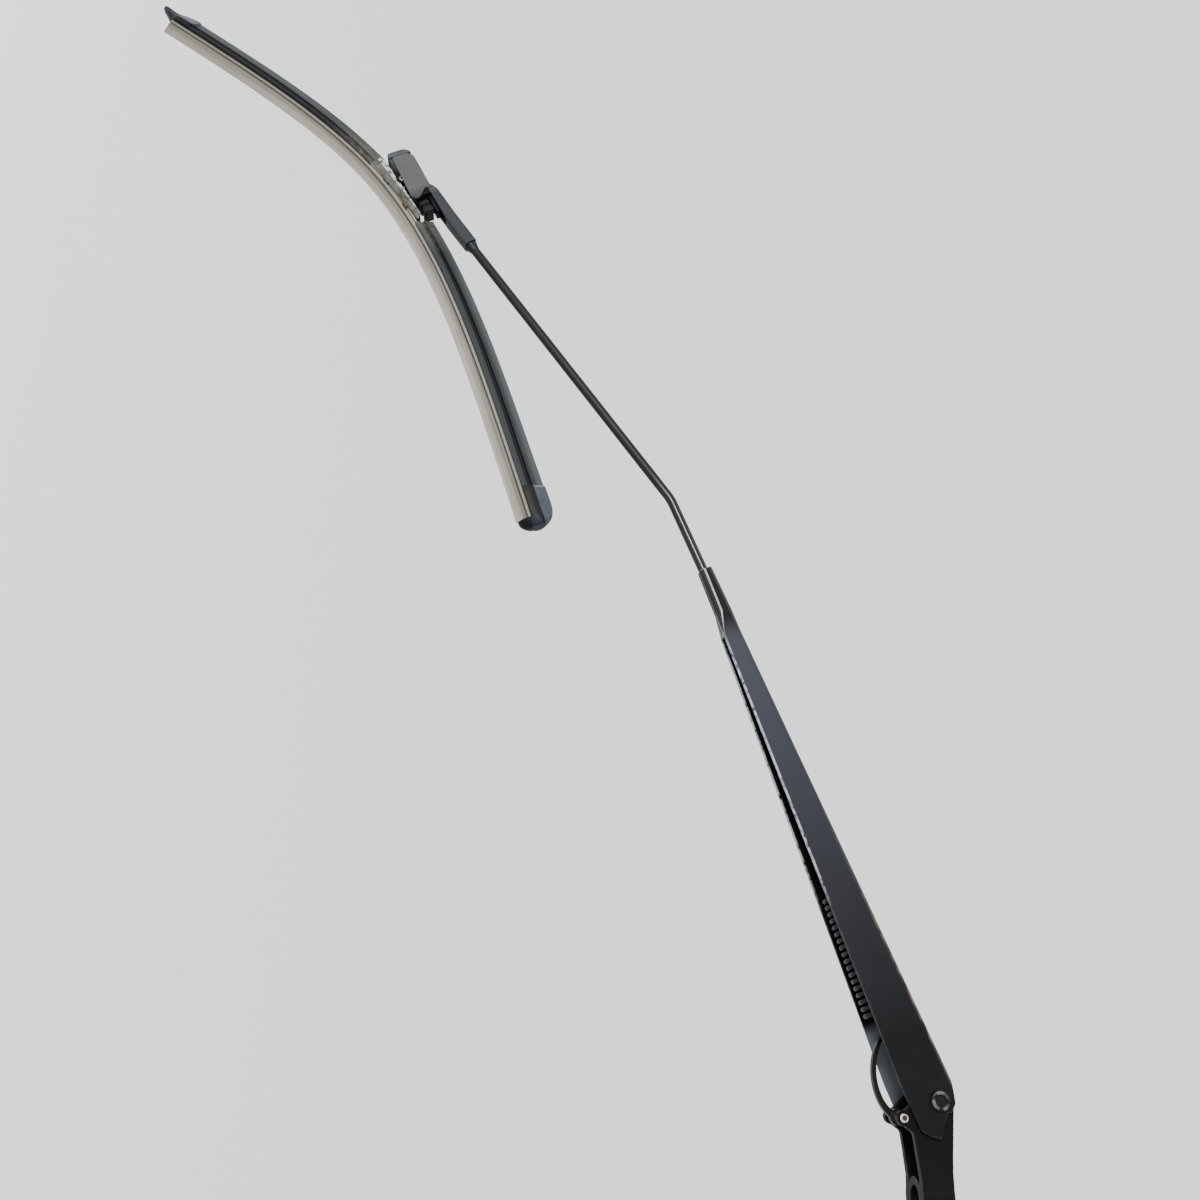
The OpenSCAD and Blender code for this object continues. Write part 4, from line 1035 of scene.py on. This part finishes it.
@dataclass(frozen=True)
class SpoilerSection:
    """Sizes of the spoiler, in mm."""

    foot_w: float = 11.8
    foot_low: float = 8.6
    foot_top: float = 12.0
    outer_foot_top: float = 10.5
    height: float = 20.0
    inner_rise: float = 1.6
    outer_fall: float = 0.8
    cap_proud: float = 0.5

    def top(self, curve: BladeCurve, s: float) -> float:
        """Height of the spoiler's crest.

        Args:
            curve: The blade's curve.
            s: Distance along it in mm.

        Returns:
            The height above the lip in mm.
        """
        if s > 0:
            return self.height - self.outer_fall * s / curve.outer_len
        return self.height + 0.4 + (self.inner_rise - 0.4) * (s / curve.inner_len) ** 2

    def outer_outline(self, top: float) -> list[tuple[float, float, float]]:
        """Draws the outer spoiler's section, whose foot is the lower one.

        Args:
            top: Height of the crest in mm.

        Returns:
            Points across and up in mm, each with the height that its material reads.
        """
        drop = self.foot_top - self.outer_foot_top
        low = SpoilerSection(foot_top=self.outer_foot_top).outline(top)
        return [(y, h, h + drop * max(0.0, min(1.0, (h - self.foot_low) / 1.4, (top - h) / 3)))
                for y, h in low]

    def outline(self, top: float, grow: float = 0.0) -> list[tuple[float, float]]:
        """Draws the outside of the section.

        Args:
            top: Height of the crest in mm.
            grow: How far the outline stands proud in mm.

        Returns:
            Points across and up, in mm, anticlockwise from the near underside.
        """
        half, low, foot = self.foot_w / 2, self.foot_low, self.foot_top
        near = [
            (half - 0.5 + grow, low), (half - 0.1 + grow, low + 0.15), (half + grow, low + 0.6),
            (half + grow, foot - 0.35), (half - 0.2 + grow, foot - 0.05), (half - 0.8 + grow, foot + 0.12),
            (half - 2.0 + grow, foot + 0.3), (half - 2.4 + grow, foot + 0.9), (half - 2.3 + grow, foot + 1.8),
            (half - 1.7 + grow, foot + 2.3),
        ]
        for i in range(13):
            u = i / 12
            near.append((0.8 + grow + (half - 2.2) * (1 - u) ** 1.8,
                         foot + 2.5 + (top - 0.4 - foot - 2.5) * u))
        near += [(0.55, top - 0.12), (0.1, top), (-0.4, top)]
        far = [(-half - grow + 0.5, low), (-half - grow, low + 0.5), (-half - grow, foot)]
        for i in range(9):
            u = i / 8
            far.append((-1 - grow - (half - 1.3) * (1 - u) ** 1.2, foot + 0.6 + (top - 0.5 - foot - 0.6) * u))
        far.append((-0.8, top - 0.12))
        return near + far[::-1]

    def cap_outline(self) -> list[tuple[float, float]]:
        """Draws the outside of an end cap, whose skirt runs smoothly into its face.

        Returns:
            Points across and up, in mm, anticlockwise from the near underside.
        """
        full = self.outline(self.height, self.cap_proud)
        half, low, foot, top = self.foot_w / 2 + self.cap_proud, self.foot_low, self.foot_top, self.height
        near = [(half - 0.5, low), (half - 0.1, low + 0.15), (half, low + 0.6), (half, foot - 1.0),
                (half - 0.12, foot - 0.2), (half - 0.5, foot + 0.7), (half - 1.1, foot + 1.7),
                (half - 1.8, foot + 2.6), (half - 2.2, foot + 3.0)]
        for i in range(1, 11):
            u = i / 10
            near.append((1.3 + (half - 3.5) * (1 - u) ** 1.3, foot + 3.0 + (top - 0.4 - foot - 3.0) * u))
        return near + full[full.index((0.55, top - 0.12)):]


@dataclass(frozen=True)
class CapRing:
    """One ring of an end cap: its place, its lowest and highest point, its keel, its share of the width.

    ease says how far the section is rounded towards an oval, from 0 to 1.
    """

    s: float
    low: float
    top: float
    keel: float
    share: float
    ease: float = 0.0

    def outline(self, section: list[tuple[float, float]]) -> list[tuple[float, float]]:
        """Fits a section between the ring's heights, over its keel.

        Args:
            section: The cap's full section, across and up in mm.

        Returns:
            Points across and up in mm.
        """
        low, top = min(h for _, h in section), max(h for _, h in section)
        wide = self.share * max(y for y, _ in section)
        mid, rise = (self.low + self.top) / 2, (self.top - self.low) / 2
        fitted = []
        for y, h in section:
            flat_y, flat_h = y * self.share, self.low + (h - low) * 2 * rise / (top - low)
            turn = math.atan2((flat_h - mid) / rise, flat_y / wide)
            fitted.append((flat_y + self.ease * (wide * math.cos(turn) - flat_y),
                           flat_h + self.ease * (mid + rise * math.sin(turn) - flat_h)))
        (near_y, near_h), (far_y, far_h) = fitted[0], fitted[-1]
        belly = [(math.cos(math.radians(a)), math.sin(math.radians(a))) for a in (75, 50, 25)]
        near = [(near_y * c, near_h + (self.keel - near_h) * d) for c, d in belly]
        far = [(far_y * c, far_h + (self.keel - far_h) * d) for c, d in reversed(belly)]
        return near + fitted + far


@dataclass
class Blade:
    """The blade: rubber, rails, spoilers and end caps."""

    curve: BladeCurve
    rubber: RubberSection = field(default_factory=RubberSection)
    spoiler: SpoilerSection = field(default_factory=SpoilerSection)
    base_front: float = 20.0
    base_rear: float = 31.0
    spoiler_gap: float = 0.6
    cap_gap: float = 0.2
    outer_cap: float = 26.5
    inner_cap: float = 24.0
    rubber_short_outer: float = 12.4
    rubber_short_inner: float = 6.0
    rubber_pitch: float = 4.0
    spoiler_pitch: float = 5.0
    # Centre of the painted highlight oval on the inner cap's end, across and up in mm, from which the radius
    # measure is taken
    oval_highlight_y: float = 3.0
    oval_highlight_h: float = 11.0

    def swept(self, name: str, stations: list[float],
              outline: Callable[[float], list[tuple[float, ...]]]) -> bpy.types.Object:
        """Sweeps a section along the blade.

        Args:
            name: The object's name.
            stations: Distances along the blade in mm.
            outline: Function that gives the section's points at a station.

        Returns:
            The new object.
        """
        rings: list[list[Vector]] = []
        measures: dict[Attr, list[float]] = {a: [] for a in Attr}
        for s in stations:
            points = outline(s)
            rings.append([self.curve.point(s, point[0], point[1]) for point in points])
            measures[Attr.ALONG] += [s] * len(points)
            measures[Attr.HEIGHT] += [point[-1] for point in points]
            measures[Attr.ACROSS] += [point[0] for point in points]
            measures[Attr.RADIUS] += [math.hypot(point[0] - self.oval_highlight_y, point[1] - self.oval_highlight_h)
                                      for point in points]
        return loft(name, rings, measures, sharp=42)

    def cap_rings(self, half: Half) -> list[CapRing]:
        """Lays out an end cap.

        Args:
            half: Which half of the blade it closes.

        Returns:
            Its rings, from the lowest station to the highest.
        """
        c, low = self.curve, self.spoiler.foot_low
        if half is Half.INNER:
            end = -c.inner_len
            crest = self.spoiler.top(c, end)
            tail = [(-0.02, low, 8.0, -11.0, 0.08, 1.0), (0.0, low, 5.8, -7.2, 0.68, 0.9),
                    (0.25, 7.8, 4.8, -6.0, 0.8, 0.85), (0.8, low, 3.6, -4.8, 0.89, 0.75),
                    (1.7, low, 2.4, -3.4, 0.95, 0.6), (2.8, low, 1.5, -2.2, 0.98, 0.45),
                    (4.2, low, 0.9, -1.1, 1.0, 0.3), (5.4, low, 0.7, -0.5, 1.0, 0.2),
                    (5.7, low, low, -0.4, 1.0, 0.18)]
            body = [(7.5, low, low, 0.2, 1.0, 0.08), (9.5, low, low, 0.6, 1.0, 0.0),
                    (14.0, low, low, 0.8, 1.0, 0.0), (19.0, low, low, 0.7, 1.0, 0.0),
                    (self.inner_cap - 0.8, low, low, 0.6, 1.0, 0.0),
                    (self.inner_cap, low, low, 0.1, 0.97, 0.0)]
            return [CapRing(end + x, under, crest + rise, keel, share, ease)
                    for x, under, keel, rise, share, ease in tail + body]
        start = c.outer_len - self.outer_cap
        crest = self.spoiler.top(c, start)
        hump = [(0.0, low, crest + 0.1, 0.97, 0.0), (0.7, low, crest + 0.8, 1.0, 0.0),
                (3.5, low, crest + 0.7, 1.0, 0.0), (8.0, low, crest - 0.1, 1.0, 0.0),
                (11.5, low, crest - 0.8, 0.97, 0.05), (13.0, low, crest - 1.4, 0.85, 0.15)]
        tongue = [(14.5, low, 17.4, 0.74, 0.3), (17.0, low + 0.2, 17.2, 0.68, 0.5),
                  (19.5, low + 1.5, 17.0, 0.64, 0.7), (22.0, low + 2.9, 16.9, 0.6, 0.9),
                  (24.4, 12.5, 16.7, 0.56, 1.0), (25.4, 12.9, 16.4, 0.5, 1.0),
                  (26.0, 13.4, 15.9, 0.4, 1.0), (26.4, 14.1, 15.1, 0.2, 1.0)]
        return [CapRing(start + x, under, top, under, share, ease)
                for x, under, top, share, ease in hump + tongue]

    def build(self) -> list[bpy.types.Object]:
        """Makes the blade's rubber pieces.

        Returns:
            The new objects.
        """
        c = self.curve
        made: list[bpy.types.Object] = []
        section = self.rubber.outline()
        stations = even_stations(-(c.inner_len - self.rubber_short_inner),
                                 c.outer_len - self.rubber_short_outer, self.rubber_pitch)
        rubber = self.swept("wiping_rubber", stations, lambda s: section)
        made.append(place(rubber, Body.BLADE, "rubber_element"))
        for half, a, b in (
                (Half.OUTER, self.base_front + self.spoiler_gap,
                 c.outer_len - self.outer_cap - self.cap_gap),
                (Half.INNER, -c.inner_len + self.inner_cap + self.cap_gap,
                 -self.base_rear - self.spoiler_gap)):
            name = "spoiler_" + half.value
            draw = self.spoiler.outer_outline if half is Half.OUTER else self.spoiler.outline
            made.append(place(self.swept(
                name + "_extrusion", even_stations(a, b, self.spoiler_pitch),
                lambda s: draw(self.spoiler.top(c, s))), Body.BLADE, name))
            rings = {ring.s: ring for ring in self.cap_rings(half)}
            proud = self.spoiler.cap_outline()
            name = "end_cap_" + half.value
            made.append(place(self.swept(
                name + "_moulding", list(rings), lambda s: rings[s].outline(proud)), Body.BLADE, name))
        return made


@dataclass(frozen=True)
class Spring:
    """The tension spring in the channel: sizes in mm, slope in degrees."""

    frame: SideFrame
    anchor_x: float = 165.0
    anchor_z: float = 4.4
    wire_d: float = 2.4
    coil_d: float = 11.6
    turns: int = 18
    coil_start: float = 62.5
    coil_len: float = 60.0
    loop_r: float = 4.0
    eye_r: float = 1.9
    seat: float = 0.3
    lead: float = 3.0
    slope: float = 5.05
    coil_steps: int = 28
    loop_steps: int = 20
    loop_turn: float = 300.0
    wire_sides: int = 12

    def at(self, u: float, v: float, w: float) -> Vector:
        """Places the point u mm from the eye, v mm across and w mm above the spring's axis, in metres."""
        a = math.radians(self.slope)
        return self.frame.at(self.anchor_x - u * math.cos(a) - w * math.sin(a), v,
                             self.anchor_z - u * math.sin(a) + w * math.cos(a))

    def loop(self, middle: float, start: float) -> list[Vector]:
        """Draws one of the end loops.

        Args:
            middle: Distance of the loop's middle from the eye in mm.
            start: Angle at which the wire starts round it, in degrees.

        Returns:
            Points in metres.
        """
        steps = range(self.loop_steps + 1)
        angles = [math.radians(start - self.loop_turn * i / self.loop_steps) for i in steps]
        return [self.at(middle + self.loop_r * math.cos(a), self.loop_r * math.sin(a), 0) for a in angles]

    def path(self) -> list[Vector]:
        """Draws the middle of the wire.

        Returns:
            Points in metres from the eye's loop to the hook's loop.
        """
        near = self.loop_r + self.wire_d / 2 + self.seat - self.eye_r
        end = self.coil_start + self.coil_len
        steps, coil_r = self.coil_steps, self.coil_d / 2
        points = self.loop(near, 325)
        points += [self.at(near + self.loop_r + 2, 0.3, 0), self.at(self.coil_start - self.lead, 0, 0.6),
                   self.at(self.coil_start - self.lead * 0.4, -coil_r * 0.6, coil_r * 0.55)]
        for i in range(self.turns * steps + 1):
            a = 2 * math.pi * i / steps
            points.append(self.at(self.coil_start + self.coil_len * i / (self.turns * steps),
                                  coil_r * math.sin(a), coil_r * math.cos(a)))
        points.append(self.at(end + self.lead * 0.4, coil_r * 0.5, coil_r * 0.4))
        return points + self.loop(end + self.lead + self.loop_r, 155)

    def build(self) -> bpy.types.Object:
        """Makes the spring."""
        coil = wire("coiled_spring", self.path(), self.wire_d / 2 * MM, self.wire_sides)
        return place(coil, Body.ARM, "tension_spring")


# ---- Building the scene ----


def place(obj: bpy.types.Object, body: Body, *nodes: str) -> bpy.types.Object:
    """Puts a new piece on its body in place of CAD nodes.

    Args:
        obj: The piece, in the row frame.
        body: The body that it moves with.
        nodes: The CAD nodes that it stands for.

    Returns:
        The piece.
    """
    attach(obj, body.value)
    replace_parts(obj, *nodes)
    LOG.info("%s: %d faces, on %s, for %s", obj.name, len(obj.data.polygons), body.value, ", ".join(nodes))
    return obj


def paint_cad(finishes: dict[str, bpy.types.Material], sharp: float = 30.0) -> None:
    """Gives the CAD nodes their materials and smooths their curved faces.

    Args:
        finishes: CAD node names to materials.
        sharp: Edges that turn by more than this many degrees stay sharp.
    """
    for name, material in finishes.items():
        obj = frame["nodes"][name]
        obj.data.materials.clear()
        obj.data.materials.append(material)
        smooth_by_angle(obj.data, sharp)
        LOG.info("%s: %s", name, material.name)


@dataclass(frozen=True)
class Studio:
    """The camera, the floor and the lights, in metres and watts; the lens and its sensor are in mm."""

    eye: Vector = Vector((0.047498, 0.579408, -0.205646))
    right: Vector = Vector((0.056707, 0.09703, 0.993665))
    up: Vector = Vector((0.924915, 0.369638, -0.088879))
    back: Vector = Vector((-0.37592, 0.924096, -0.068783))
    lens: float = 34.5
    sensor: float = 36.0
    clip_near: float = 0.01
    clip_far: float = 200.0
    floor_z: float = -0.56
    floor_size: float = 60.0
    world_strength: float = 1.5
    sun_toward: Vector = Vector((0.35, 0.45, 0.82))
    sun_strength: float = 0.8
    sun_spread: float = 50.0
    window_at: Vector = Vector((0.58, 0.90, -0.28))
    window_target: Vector = Vector((0.32, 0.0, -0.115))
    window_size: float = 0.3
    window_power: float = 15.0

    def camera(self) -> bpy.types.Object:
        """Makes the camera that sees the object as the photograph does.

        Returns:
            The camera.
        """
        data = bpy.data.cameras.new("photo_camera")
        data.lens, data.sensor_width = self.lens, self.sensor
        data.clip_start, data.clip_end = self.clip_near, self.clip_far
        data.dof.use_dof = False
        cam = bpy.data.objects.new("photo_camera", data)
        cam.matrix_world = Matrix((
            (self.right.x, self.up.x, self.back.x, self.eye.x),
            (self.right.y, self.up.y, self.back.y, self.eye.y),
            (self.right.z, self.up.z, self.back.z, self.eye.z),
            (0, 0, 0, 1)))
        bpy.context.scene.collection.objects.link(cam)
        bpy.context.scene.camera = cam
        return cam

    def floor(self) -> bpy.types.Object:
        """Makes the pale floor.

        Returns:
            The floor.
        """
        h, z = self.floor_size / 2, self.floor_z
        mesh = bpy.data.meshes.new("floor")
        mesh.from_pydata([(-h, -h, z), (h, -h, z), (h, h, z), (-h, h, z)], [], [(0, 1, 2, 3)])
        p = Paint("Matte white floor paint")
        p.set("Base Color", linear("#F0F0F0"))
        p.set("Roughness", 1.0)
        p.set("Specular IOR Level", 0.0)
        mesh.materials.append(p.material)
        obj = bpy.data.objects.new("floor", mesh)
        bpy.context.scene.collection.objects.link(obj)
        return obj

    def area(self, name: str, at: Vector, size: float, power: float, target: Vector) -> bpy.types.Object:
        """Makes a soft square light.

        Args:
            name: The light's name.
            at: Its place in metres.
            size: Its side in metres.
            power: Its power in watts.
            target: What it points at, in metres.

        Returns:
            The light.
        """
        data = bpy.data.lights.new(name, "AREA")
        data.size, data.energy = size, power
        obj = bpy.data.objects.new(name, data)
        obj.location = at
        obj.rotation_euler = (target - at).to_track_quat("-Z", "Y").to_euler()
        bpy.context.scene.collection.objects.link(obj)
        return obj

    def sun(self, name: str, toward: Vector, strength: float, spread: float) -> bpy.types.Object:
        """Makes an even light from far away.

        Args:
            name: The light's name.
            toward: Direction from the object to the light.
            strength: Its strength in watts per square metre.
            spread: Its apparent size in degrees.

        Returns:
            The light.
        """
        data = bpy.data.lights.new(name, "SUN")
        data.energy, data.angle = strength, math.radians(spread)
        obj = bpy.data.objects.new(name, data)
        obj.rotation_euler = (-toward).to_track_quat("-Z", "Y").to_euler()
        bpy.context.scene.collection.objects.link(obj)
        return obj

    def build(self) -> None:
        """Makes the whole stage."""
        world = bpy.data.worlds.new("studio_white")
        bpy.context.scene.world = world
        world.use_nodes = True
        background = world.node_tree.nodes["Background"]
        background.inputs["Color"].default_value = linear("#FFFFFF")
        background.inputs["Strength"].default_value = self.world_strength
        self.camera()
        self.floor()
        self.sun("even_top_light", self.sun_toward, self.sun_strength, self.sun_spread)
        # A window-sized light that draws the bright line down the rod and the crimp
        self.area("window_light", self.window_at, self.window_size, self.window_power, self.window_target)


def finishes() -> dict[str, bpy.types.Material]:
    """Makes every material.

    Returns:
        CAD node names to materials, with those of one finish sharing it.
    """
    # Stove enamel: near-black at the hinge, lightened to blue-grey outwards by a painted reflection, with
    # painted light on the inner faces near the hinge, a brown painted reflection along the fold, lower edges
    # partly worn and partly a painted highlight, and a glossy crimp
    channel = ChannelEnamel("Stove enamel on pressed steel", "#060608", "#26282F", "#4C5054", "#5C4F42",
                            "#8F9398")
    # Black enamel: glossy near the crimp, where it shows a bright line, and dulled beyond the bend
    rod = RodEnamel("Gloss black enamel on drawn rod", "#030304", "#101214")
    # Black powder coat on the head's casting, a little coarser than the arm's
    head = Enamel("Black powder coat on cast head", "#040405", "#110F0E", "#3E3C3A", 0.45, 0.3, 0.25, 0.08,
                  0.05)
    # Oiled black finish of spring wire, nearly lost in the shade of the channel
    spring = Enamel("Black phosphate on spring wire", "#050506", "#15120F", "#4A4038", 0.35, 0.3, 0.0, 0.15)
    # Oil-blackened steel of the hook, with a little bright metal on its edges
    hook = Enamel("Oil-blackened spring hook", "#050507", "#121111", "#4A4846", 0.35, 0.2, 0.12, 0.15)
    # Black rivet whose head carries a pale painted highlight in a broken ring
    rivet = RivetPaint("Black enamel on rivet", "#060608", "#4C4D51", 2.9, 4.3)
    # Grey paint, lighter on the hood and darker and bluer down the sleeve
    hood = HoodPaint("Grey paint on pressed steel", "#3B3B3B", "#1D1F22", "#54565A")
    # Blue-grey nose of the adapter, with black painted shade inside the hood
    adapter = AdapterMoulding("Weathered acetal moulding", "#353A40", "#040405")
    # Black nylon of the tab, greyed in patches
    tab = Moulding("Black nylon moulding", "#030305", "#1C1E22", 0.6, 0.35)
    # Cream bearing plastic
    bush = Moulding("Cream bearing nylon", "#C8BFA2", "#8C8470", 0.45, 0.5)
    # Inner end cap: satin blue-grey face over an olive skirt, with a pale scuff where it starts, black
    # painted shade at its end and a painted highlight oval on it
    cap_in = CapMoulding("Satin end cap moulding", "#363C41", "#10110E", "#040507", "#6F736F", "#161D26",
                         -221.2, -239.0, 300, 15.0)
    # Outer end cap: grey hump, black painted shade in the hollow behind it and an olive-black tongue
    cap_out = CapMoulding("Weathered end cap moulding", "#484A54", "#0A0B0D", "#050506", "#6B6E70", "#26303C",
                          300, -500, 188.6, 12.4)
    # Bright plating with black painted shade at the centre of the pin's end
    pin = TurnedPlating("Zinc plated pin", "#CFC8AE", "#0A0A0A", 1.25)
    # Spring steel of the rails, glimpsed at the claws
    rail = Plating("Stainless spring strip", "#8F8B84", "#5C5248", 0.4)
    # White oxide flaking off the connector's upper edge over dusty grey flanks
    base = OxidisedCasting("Oxidised die casting", "#4A4D48", "#8E928B", "#2C2D29", "#3A2E22")
    # Bleached grey-beige rubber with fine lines along it
    rubber = WipingRubber("Bleached wiping rubber", "#807E75", "#4E4C43", "#3A362C", "#74726A")
    # Dark spoiler rubber, with black painted shade in its groove and a painted highlight towards its crest
    spoiler = SpoilerRubber("Spoiler rubber", "#1E2123", "#030404", "#121516", "#36393B", "#56544C",
                            32, 58)
    worn_by: dict[Finish, tuple[str, ...]] = {
        channel: ("arm_channel",),
        rod: ("arm_rod",),
        head: ("mounting_head",),
        spring: ("tension_spring",),
        hook: ("spring_hook",),
        rivet: ("pivot_rivet",),
        hood: ("arm_end_fitting",),
        adapter: ("adapter_body",),
        tab: ("release_tab",),
        bush: ("pivot_bush_near", "pivot_bush_far"),
        cap_in: ("end_cap_inner",),
        cap_out: ("end_cap_outer",),
        pin: ("hook_pin", "connector_pin"),
        rail: ("rail_near", "rail_far"),
        base: ("connector_base",),
        rubber: ("rubber_element",),
        spoiler: ("spoiler_outer", "spoiler_inner"),
    }
    made: dict[str, bpy.types.Material] = {}
    for finish, nodes in worn_by.items():
        made.update(dict.fromkeys(nodes, finish.build()))
    return made


def measured_frames(layout: ArmLayout) -> dict[str, SideFrame]:
    """Lists the CAD pieces whose materials read measures, with the frames to measure them in."""
    return {
        "arm_channel": layout.arm, "pivot_rivet": layout.arm, "arm_rod": layout.rod,
        "arm_end_fitting": layout.hood, "adapter_body": layout.hood, "hook_pin": layout.hook_pin,
        "connector_base": layout.blade, "connector_pin": layout.blade,
    }


def main() -> None:
    """Builds the whole scene."""
    logging.basicConfig(level=logging.INFO, format="%(name)s: %(message)s")
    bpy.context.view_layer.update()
    layout = ArmLayout()
    materials = finishes()
    paint_cad(materials)
    for name, at in measured_frames(layout).items():
        measure(frame["nodes"][name], at)
    made = Blade(BladeCurve(layout.blade)).build()
    made.append(Spring(layout.arm).build())
    for obj in made:
        obj.data.materials.append(materials[obj["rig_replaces"][0]])
    Studio().build()


if __name__ == "__main__":
    main()
